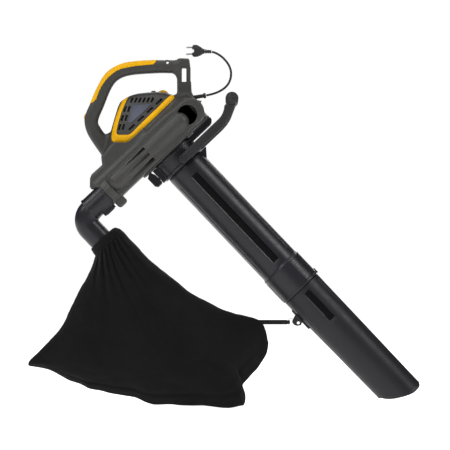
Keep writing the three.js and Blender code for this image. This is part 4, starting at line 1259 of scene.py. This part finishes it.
# ---- front handle, collar
def make_fan_cover(step):
    """The plate over the scroll's front, with bosses for its screws."""
    def cover(a, y, h):
        axial = np.sqrt(y ** 2 + h ** 2)
        body = prism(SCROLL(y, h + AXIS), slab(a, 199.3, 202.5), 1)
        body = np.minimum(body, prism(axial - 62, slab(a, 199.3, 205.7), 0.6))
        pad = block(a, y, h, (199.3, -20, 82), (205.7, 20, 144), 1)
        body = np.minimum(body, pad)
        for angle in np.radians((20, 62, 118, 160, 205, 250, 290, 335)):
            reach = 0.86 * (118 if math.sin(angle) > 0 else 104)
            at_y, at_h = 0.79 * reach * math.cos(angle), reach * math.sin(angle)
            boss = np.sqrt((y - at_y) ** 2 + (h - at_h) ** 2) - 5
            body = joined(body, prism(boss, slab(a, 200, 204.2), 0.6), 0.8)
        return carved(body, np.maximum(axial - 54, slab(a, 190, 215)), 1)
    add_skin(
        "cover_plate", at_machine(cover), (-50, -122, -326), (165, 122, -130), step, "housing",
        "grille_dark", ["fan_cover"],
    )


def make_tube_collar(step):
    """The drum that takes the tube, with a rim at each end, a lug above and a latch seat."""
    lug_shape = outline([(-20, 40), (20, 40), (20, 140), (14, 146), (-14, 146), (-20, 140)], 0.5)
    lug_side = outline([
        (190, 30), (222, 30), (222, 130), (219, 138), (213, 144), (206, 146), (190, 146),
    ], 0.5)

    def collar(a, y, h):
        axial = np.sqrt(y ** 2 + h ** 2)
        drum = prism(axial - 65.6, slab(a, 206, 253), 2.5)
        rims = np.minimum(
            prism(axial - 67, slab(a, 206, 213), 1), prism(axial - 67, slab(a, 245, 253), 1.4)
        )
        body = joined(drum, rims, 1)
        lug = common(prism(lug_shape(y, h), slab(a, 206, 222), 1), lug_side(a, h), 2)
        lug = carved(lug, prism(lug_shape(y, h) + 5, slab(a, 214, 230), 1), 0.8)
        body = joined(body, lug, 2)
        body = joined(body, block(a, y, h, (206, -30, -76), (250, 30, -40), 2), 1.5)
        body = np.maximum(body, 58 - axial)
        return carved(body, block(a, y, h, (228, -10.5, -80), (246.5, 10.5, -40), 0.5), 0.4)

    add_skin(
        "collar_ring", at_machine(collar), (-24, -70, -342), (165, 70, -135), step, "housing",
        "tube_black", ["tube_collar"],
    )


def make_tube_latch():
    """The lever under the collar, with thumb grooves and a hook."""
    lever = outline([
        (217, -77), (204, -83), (203, -86), (211, -100), (241, -100), (248, -94), (248, -81),
        (244, -77),
    ], 0.4)

    def latch(a, y, h):
        body = prism(lever(a, h), np.abs(y) - 24, 2)
        for place in (216, 221, 226, 231):
            groove = block(a, y, h, (place, -19, -104), (place + 2, 19, -98.8), 0.4)
            body = carved(body, groove, 0.6)
        return np.minimum(body, block(a, y, h, (229, -10, -79), (236, 10, -62), 0.8))

    add_skin(
        "latch_lever", at_machine(latch), (-35, -26, -350), (75, 26, -290), 0.9, "latch",
        "tube_black", ["tube_latch"],
    )


ARM_SHAPE = [
    (228, 6), (228, 157), (226.9, 167), (223.5, 177), (218.5, 186), (212, 194), (212, 208),
    (226, 230), (231.5, 217), (247, 184), (251, 168), (253, 150), (253, 6), (247, 0.5),
    (240.5, -1), (234, 0.5),
]


def make_front_handle(step):
    """Two flat arms with a sunk face, their screws, and the grooved bar between them."""
    arm_outline = outline(ARM_SHAPE, 0.6)
    for label, side in (("left", -1), ("right", 1)):
        def arm(a, y, h):
            flat = arm_outline(a, h)
            body = prism(flat, np.abs(side * y - 76) - 5, 2.2)
            recess = prism(flat + 5, np.abs(side * y - 81.5) - 1.6, 0.8)
            body = carved(body, recess, 0.8)
            boss = np.sqrt((a - 240.5) ** 2 + (h - 12) ** 2) - 10
            body = joined(body, prism(boss, slab(side * y, 60, 80.6), 1), 1)
            body = carved(body, np.sqrt((a - 212) ** 2 + (h - 223) ** 2) - 18.3)
            body = carved(body, np.sqrt((a - 240.5) ** 2 + (h - 12) ** 2) - 3.4, 0.6)
            return np.maximum(body, 67.3 - np.sqrt(y ** 2 + h ** 2))
        low, high = side_box(side, (50, 345), (58, 83), (-286, 30))
        add_skin(
            f"front_arm_{label}", at_machine(arm), low, high, step, "housing", "handle_dark",
            [f"aux_handle_arm_{label}"],
        )

        def screw(a, y, h):
            axial = np.sqrt((a - 240.5) ** 2 + (h - 12) ** 2)
            head = prism(axial - 7 + 0.25 * (side * y - 81), slab(side * y, 81.3, 85), 0.8)
            body = np.minimum(head, prism(axial - 3, slab(side * y, 69, 82), 0.3))
            cross = np.minimum(
                np.maximum(np.abs(a - 240.5) - 0.9, np.abs(h - 12) - 4),
                np.maximum(np.abs(h - 12) - 0.9, np.abs(a - 240.5) - 4),
            )
            return carved(body, np.maximum(cross, 83.2 - side * y), 0.3)
        low, high = side_box(side, (66, 86), (68, 87), (-274, -248))
        add_skin(
            f"arm_screw_{label}", at_machine(screw), low, high, 0.5, "housing",
            "fastener_steel", [f"aux_handle_screw_{label}"], "handle_dark",
        )

    rows = [
        (0.01, -81), (11, -81), (11.4, -80.6), (12.2, -80.6), (12.6, -81), (16.4, -81),
        (17.6, -80.3), (18, -79), (18, -66), (17.2, -65.4), (17.2, -64.4), (18, -63.8),
    ]
    for i in range(31):
        y = -62 + 4 * i
        rows += [(18, y), (18, y + 1.4), (17.35, y + 2), (17.35, y + 3.2), (18, y + 3.8)]
    rows += [
        (18, 63.8), (17.2, 64.4), (17.2, 65.4), (18, 66), (18, 79), (17.6, 80.3), (16.4, 81),
        (0.01, 81),
    ]
    angles = turned(72)
    rings = [
        machine_ring(212 + r * np.cos(angles), np.full(72, float(y)), 223 + r * np.sin(angles))
        for r, y in rows
    ]
    add_rings("front_bar", rings, 50, False, "housing", "handle_dark", ["aux_grip_bar"])


# ---- outlet and elbow
OUTLET_A, OUTLET_Y = 166.0, -75.0


def make_outlet_sleeve():
    """The sleeve on the scroll's outlet, with a rim at each end, and its release button."""
    def sleeve(a, y, h):
        axial = np.sqrt((a - OUTLET_A) ** 2 + (y - OUTLET_Y) ** 2)
        body = prism(axial - 34.2, slab(h, -277, -197.5), 1.2)
        body = joined(body, prism(axial - 35.2, slab(h, -277, -270), 1), 0.8)
        body = joined(body, prism(axial - 35, slab(h, -216, -210), 1), 0.8)
        tab = block(a, y, h, (190, OUTLET_Y - 9, -255), (208.5, OUTLET_Y + 9, -216), 1.6)
        body = joined(body, tab, 1.2)
        window = block(a, y, h, (199.8, OUTLET_Y - 7.5, -250), (215, OUTLET_Y + 7.5, -221), 0.5)
        body = carved(body, window, 0.5)
        return np.maximum(body, 31.5 - axial)
    add_skin(
        "sleeve", at_machine(sleeve), (-215, -114, -440), (-90, -36, -315), 1.1, "elbow",
        "tube_black", ["outlet_sleeve"],
    )

    def button(a, y, h):
        body = block(a, y, h, (202.6, OUTLET_Y - 7, -249.5), (210, OUTLET_Y + 7, -221.5), 1.6)
        for level in (-230, -234, -238, -242):
            rib = block(a, y, h, (209, OUTLET_Y - 5, level), (215, OUTLET_Y + 5, level + 1.4), 0.2)
            body = carved(body, rib, 0.4)
        return body
    add_skin(
        "release_button", at_machine(button), (-145, -84, -422), (-112, -66, -385), 0.6,
        "outlet_button", "tube_black", ["outlet_release_button"],
    )


def make_elbow():
    """Mitred bend from the outlet round to the bag's neck, with a lip at each end."""
    angles = turned(96)

    def ring(middle, direction, radius):
        (a, h), (da, dh) = middle, direction
        return machine_ring(
            a - dh * radius * np.sin(angles), OUTLET_Y + radius * np.cos(angles),
            h + da * radius * np.sin(angles),
        )

    def run(radius, start, end, lip):
        rows = [((169, start), (0, -1), radius - lip), ((169, start - 1), (0, -1), radius)]
        for turn in np.radians(np.linspace(0, 90, 28)):
            middle = (203.5 - 34.5 * math.cos(turn), -275 - 34.5 * math.sin(turn))
            rows.append((middle, (math.sin(turn), -math.cos(turn)), radius))
        for a in (210, 220, 230, 236):
            rows.append(((a, -309.5), (1, 0), radius))
        rows += [((end - 1, -309.5), (1, 0), radius), ((end, -309.5), (1, 0), radius - lip)]
        return [ring(*row) for row in rows]

    outer = run(33.0, -277.5, 262, 0.8)
    inner = run(30.0, -277.5, 262, -0.6)
    add_rings(
        "elbow_bend", outer + inner[::-1], 40, True, "elbow", "tube_black", ["elbow_pipe"]
    )


# ---- bag
# From the neck to the bottom seam: the near lower-left edge, the upper right edge, the share of
# the bottom's sag, and half the depth.
BAG_STATIONS = [
    (-168.5, -529.5, -95.5, -461, 0, 50), (-174, -547, -83, -473, 0.008, 52.5),
    (-182, -566, -72, -486, 0.02, 58), (-206, -612, -25, -535, 0.07, 64),
    (-235, -668, 34, -586, 0.16, 68), (-267, -731, 112, -643, 0.34, 68),
    (-313, -783, 202, -688, 0.6, 58), (-350, -819, 287, -712, 0.86, 36),
    (-357, -830, 311, -773, 1, 3),
]
# The bottom seam: share of the way from left to right, x, z.
BAG_BOTTOM = np.array(curve_points([
    (0, -357, -830), (0.03, -350, -838), (0.09, -300, -846), (0.15, -255, -865), (0.22, -210, -893),
    (0.3, -160, -906), (0.38, -75, -922), (0.46, 0, -943), (0.56, 110, -951), (0.67, 226, -951),
    (0.72, 242, -941), (0.77, 246, -918), (0.81, 238, -894), (0.86, 258, -872), (0.92, 288, -832),
    (0.965, 306, -802), (1, 311, -773),
], 6))


def bag_table(column):
    points = curve_points([(i, station[column]) for i, station in enumerate(BAG_STATIONS)], 12)
    return np.array(points)


BAG_TABLES = [bag_table(column) for column in range(6)]


def bag_point(t, s, swell):
    """A point of the bag: t from neck to seam, s from left to right, swell across its depth."""
    station = t * (len(BAG_STATIONS) - 1)
    left_x, left_z, right_x, right_z, sag, depth = (
        np.interp(station, table[:, 0], table[:, 1]) for table in BAG_TABLES
    )
    low_x = np.interp(s, BAG_BOTTOM[:, 0], BAG_BOTTOM[:, 1])
    low_z = np.interp(s, BAG_BOTTOM[:, 0], BAG_BOTTOM[:, 2])
    level_x = BAG_BOTTOM[0, 1] + (BAG_BOTTOM[-1, 1] - BAG_BOTTOM[0, 1]) * s
    level_z = BAG_BOTTOM[0, 2] + (BAG_BOTTOM[-1, 2] - BAG_BOTTOM[0, 2]) * s
    sag = np.clip(sag, 0, 1)
    middle = -75 + (-60 * (1 - s) + 75) * np.sqrt(sag)
    x = left_x + (right_x - left_x) * s + sag * (low_x - level_x)
    z = left_z + (right_z - left_z) * s + sag * (low_z - level_z)
    return x, middle + depth * swell, z


def bag_fold(s, t, face):
    """How far the cloth stands out: long folds that hang from the neck, softer ones below."""
    fold = np.zeros(s.shape)
    for at, lean, width, deep, until in (
        (0.14, 0.06, 0.035, 3.0, 0.62), (0.27, 0.07, 0.03, 4.2, 0.72),
        (0.38, 0.05, 0.026, 4.6, 0.78), (0.47, 0.02, 0.024, 5.0, 0.86),
        (0.58, 0.00, 0.03, 4.6, 0.9), (0.69, -0.03, 0.03, 3.8, 0.7),
        (0.80, -0.02, 0.028, 3.0, 0.6), (0.90, 0.0, 0.022, 2.4, 0.7),
    ):
        centre = at + lean * np.sin(2.4 * t + face) - 0.10 * t * (0.5 - at)
        spread = width * (0.55 + 1.9 * t)
        ridge = np.exp(-((s - centre) / spread) ** 2)
        valley = np.exp(-((s - centre - 1.7 * spread) / (0.7 * spread)) ** 2)
        fade = np.clip(t / 0.06, 0, 1) * np.clip((until - t) / 0.35, 0, 1)
        fold += deep * (ridge - 0.9 * valley) * fade
    return fold


def make_bag():
    """The collecting bag as a closed cloth shell: folded from the neck, hemmed at the bottom."""
    around, along = 240, 150
    t_rows = np.concatenate([np.linspace(0, 0.955, along), [0.97, 0.985, 1.0]])
    angle = 2 * math.pi * np.arange(around) / around
    s = 0.5 - 0.5 * np.cos(angle)
    sine = np.sin(angle)
    rings = []
    for t in t_rows:
        power = 1 - 0.3 * t
        swell = np.sign(sine) * np.abs(sine) ** power
        row_t = np.full(s.shape, t)
        x, y, z = bag_point(row_t, s, swell)
        face = np.where(sine < 0, -1.0, 1.0)
        lift = bag_fold(s, row_t, face * 0.7 + 0.2)
        body = np.clip(1.4 * np.abs(sine) - 0.12, 0, 1)
        fade = np.clip((1 - t) / 0.1, 0, 1)
        ripple = 1.6 * np.sin(19 * s + 7 * t + face) * np.sin(6.5 * t + 3 * s) * np.clip(t * 3, 0, 1)
        ripple += 1.2 * np.sin(41 * s - 11 * t) * np.sin(13 * t + 5 * s * face)
        pucker = 2.2 * np.sin(95 * s + 2 * face) * np.exp(-((t - 0.965) / 0.045) ** 2)
        y = y + face * (lift * fade + 0.8 * ripple * fade + 0.5 * pucker) * body
        hem = 1.8 * np.exp(-((t - 0.955) / 0.014) ** 2) - 1.6 * np.exp(-((t - 0.925) / 0.01) ** 2)
        y = y + face * hem * body
        wave = 3.2 * np.sin(31 * s + 0.6) * np.sin(9 * s) * np.clip((t - 0.55) / 0.4, 0, 1)
        wave += 1.6 * np.sin(67 * s) * np.clip((t - 0.8) / 0.2, 0, 1)
        z = z + wave * np.clip(np.sin(math.pi * np.clip(s, 0, 1)) * 3, 0, 1)
        # the cloth is drawn in round the neck's collar
        gather = 1.5 * np.sin(34 * angle) * np.exp(-((t - 0.045) / 0.03) ** 2)
        y = y + gather * sine
        z = z + gather * 0.4 * np.cos(angle)
        rings.append(np.stack([x, y, z], -1))
    last = (len(rings) - 1) * around
    faces = wrapped(len(rings), around).tolist()
    for i in range(around // 2):
        corners = [i, i + 1, around - i - 1, (around - i) % around]
        faces.append([last + corner for corner in dict.fromkeys(corners)])
    mesh = mesh_from("bag_cloth", np.concatenate(rings), faces)
    bag = add_piece(mesh, "bag_cloth", "bag", "bag_fabric", ["bag"])
    crumple = bpy.data.textures.new("crumple", "CLOUDS")
    crumple.noise_scale = 0.055
    crumple.noise_depth = 3
    fine = bag.modifiers.new("crumple", "DISPLACE")
    fine.texture = crumple
    fine.strength = 0.007
    fine.mid_level = 0.5
    thick = bag.modifiers.new("thickness", "SOLIDIFY")
    thick.thickness = 0.0012
    thick.offset = -1


def make_bag_neck():
    """The cuff drawn round the collar, over the collar's own stiff ring."""
    angles = turned(144)
    pleat = np.sin(26 * angles) + 0.5 * np.sin(11 * angles + 1)
    rows = [
        (246, 36.5, -309.0, 0), (246, 40.5, -306, 0), (247, 43.2, -303.5, 0.1),
        (249, 45.0, -302.5, 0.25),
        (252, 46.6, -301.5, 0.35), (254.4, 47.5, -301, 0.1), (255.2, 47.1, -301, 0.1),
        (256, 48.1, -300.8, 0.3),
        (259, 49.3, -300.4, 0.4), (262, 49.9, -300, 0.45), (264.5, 50.2, -300, 0.2),
        (265.3, 49.7, -300, 0.2),
        (266.2, 50.4, -300, 0.4), (269, 50.4, -300, 0.5), (270.5, 49.4, -300, 0.3), (270, 47.4, -300, 0),
        (256, 44.5, -302, 0), (250, 36, -308, 0), (248, 33.4, -309.5, 0), (246, 33.4, -309.5, 0),
    ]
    rings = []
    for a, radius, h, ruck in rows:
        r = radius + ruck * pleat
        rings.append(machine_ring(
            np.full(144, float(a)), OUTLET_Y + r * np.cos(angles), h + r * np.sin(angles)
        ))
    add_rings("bag_cuff", rings, None, True, "bag", "bag_fabric", ["bag_collar"])


def make_strap():
    """Webbing with stitched ends, looped round the ring's bar."""
    def strap(x, y, z):
        wave = 0.35 * np.sin(x / 9)
        across = np.abs(z + 717) - 6.4
        run = block(x, y - wave, z, (270, -1.2, -723.4), (363, 1.2, -710.6), 0.7)
        along = np.maximum(361 - x, 0) ** 2 + np.maximum(x - 368.3, 0) ** 2
        loop = prism(np.sqrt(along + y ** 2) - 2.9, np.abs(z + 717) - 5.1, 0.7)
        body = joined(run, loop, 1.2)
        hole = np.sqrt((np.abs(x - 367.2) - np.clip(np.abs(x - 367.2), 0, 1.2)) ** 2 + y ** 2)
        body = carved(body, hole - 1.55, 0.2)
        for place in (300, 303.5, 346, 349.5, 357):
            seam = np.maximum(np.abs(x - place) - 0.5, np.abs(np.sin((z + 717) * 1.5)) * -2 + 0.8)
            seam = np.maximum(seam, 0.75 - np.abs(y - wave))
            body = carved(body, np.maximum(seam, across + 1.2), 0.2)
        return body
    add_skin(
        "strap_band", strap, (268, -5, -726), (374, 5, -708), 0.6, "bag", "strap_webbing",
        ["bag_strap"],
    )


# ---- stage and light
def make_floor():
    """A wide pale floor just below the machine, lit from within so that it has no horizon."""
    size, level = 14, cad_box[0].z - 0.004
    mesh = bpy.data.meshes.new("floor")
    corners = [(-size, -size, level), (size, -size, level), (size, size, level), (-size, size, level)]
    mesh.from_pydata(corners, [], [(0, 1, 2, 3)])
    floor = bpy.data.objects.new("floor", mesh)
    bpy.context.scene.collection.objects.link(floor)
    material, tree, shader = new_material("studio_floor")
    soft = noise_at(tree, 3, 2)
    tone = ramp(tree, soft, [(0.3, (0.9, 0.9, 0.9)), (0.7, (0.93, 0.93, 0.93))])
    tree.links.new(tone, shader.inputs["Base Color"])
    shader.inputs["Roughness"].default_value = 0.9
    shader.inputs["Specular IOR Level"].default_value = 0.1
    shader.inputs["Emission Color"].default_value = (1, 1, 1, 1)
    shader.inputs["Emission Strength"].default_value = 0.8
    mesh.materials.append(material)


def make_area_light(name, place, target, size, power, colour=(1, 1, 1)):
    data = bpy.data.lights.new(name, "AREA")
    data.shape = "RECTANGLE"
    data.size, data.size_y = size
    data.energy = power
    data.color = colour
    light = bpy.data.objects.new(name, data)
    light.location = place
    aim = Vector(target) - Vector(place)
    light.rotation_euler = aim.to_track_quat("-Z", "Y").to_euler()
    bpy.context.scene.collection.objects.link(light)


def make_lights():
    """Soft areas round the machine, a broad sun, and a white background for the camera only."""
    middle = (0.1, 0, -0.45)
    make_area_light("key", (-1.2, -3.0, 1.5), middle, (1.4, 1.4), 42)
    make_area_light("left_strip", (-2.5, -0.7, 1.8), middle, (0.6, 1.8), 42)
    make_area_light("right_strip", (2.35, -0.95, 1.4), middle, (0.6, 1.8), 46)
    make_area_light("top", (0.2, 0.5, 2.6), middle, (2.2, 1.0), 30)
    make_area_light("back", (0.6, 2.8, 1.2), middle, (2, 1.5), 25)
    make_area_light("fill", (1.6, -3.0, 0.2), middle, (1.6, 1.6), 5)
    sun = bpy.data.lights.new("sky", "SUN")
    sun.energy = 1.1
    sun.angle = math.radians(70)
    light = bpy.data.objects.new("sky", sun)
    light.rotation_euler = (math.radians(25), math.radians(-15), 0)
    bpy.context.scene.collection.objects.link(light)
    world = bpy.data.worlds.new("studio")
    bpy.context.scene.world = world
    world.use_nodes = True
    tree = world.node_tree
    surroundings = tree.nodes["Background"]
    surroundings.inputs["Color"].default_value = (0.55, 0.56, 0.58, 1)
    surroundings.inputs["Strength"].default_value = 0.16
    seen = add_node(tree, "ShaderNodeBackground", {"Color": (1, 1, 1, 1), "Strength": 1.0})
    ray = add_node(tree, "ShaderNodeLightPath")
    mix = add_node(tree, "ShaderNodeMixShader")
    tree.links.new(ray.outputs["Is Camera Ray"], mix.inputs["Fac"])
    tree.links.new(surroundings.outputs[0], mix.inputs[1])
    tree.links.new(seen.outputs[0], mix.inputs[2])
    tree.links.new(mix.outputs[0], tree.nodes["World Output"].inputs["Surface"])
    bpy.context.scene.view_settings.view_transform = "Standard"


# ---- make it all
FINE = 1.0  # mm between the samples of a shape
COARSE = 1.3
make_housing(COARSE)
for side in (-1, 1):
    make_vent_trim(side, FINE)
    make_vent_grille(side, FINE)
    make_vent_shade_sheet(side, 1.5)
    make_side_plate(side, 0.7)
make_grip_pad(0.75)
make_post_insert(0.7)
make_rocker(0.6)
make_dial()
make_lock_nub(0.8)
make_fan_cover(1.4)
make_tube_collar(1.0)
make_tube_latch()
make_front_handle(1.0)
make_upper_tube()
make_lower_tube()
make_strap_bracket()
make_strap_ring()
make_outlet_sleeve()
make_elbow()
make_bag()
make_bag_neck()
make_strap()

slots = {part["node"]: part["material_slot"] for part in frame["record"]["subparts"]}
for node in frame["nodes"].values():
    if node.name in slots:
        for i in range(len(node.data.materials)):
            node.data.materials[i] = MATERIALS[slots[node.name]]

make_floor()
make_lights()
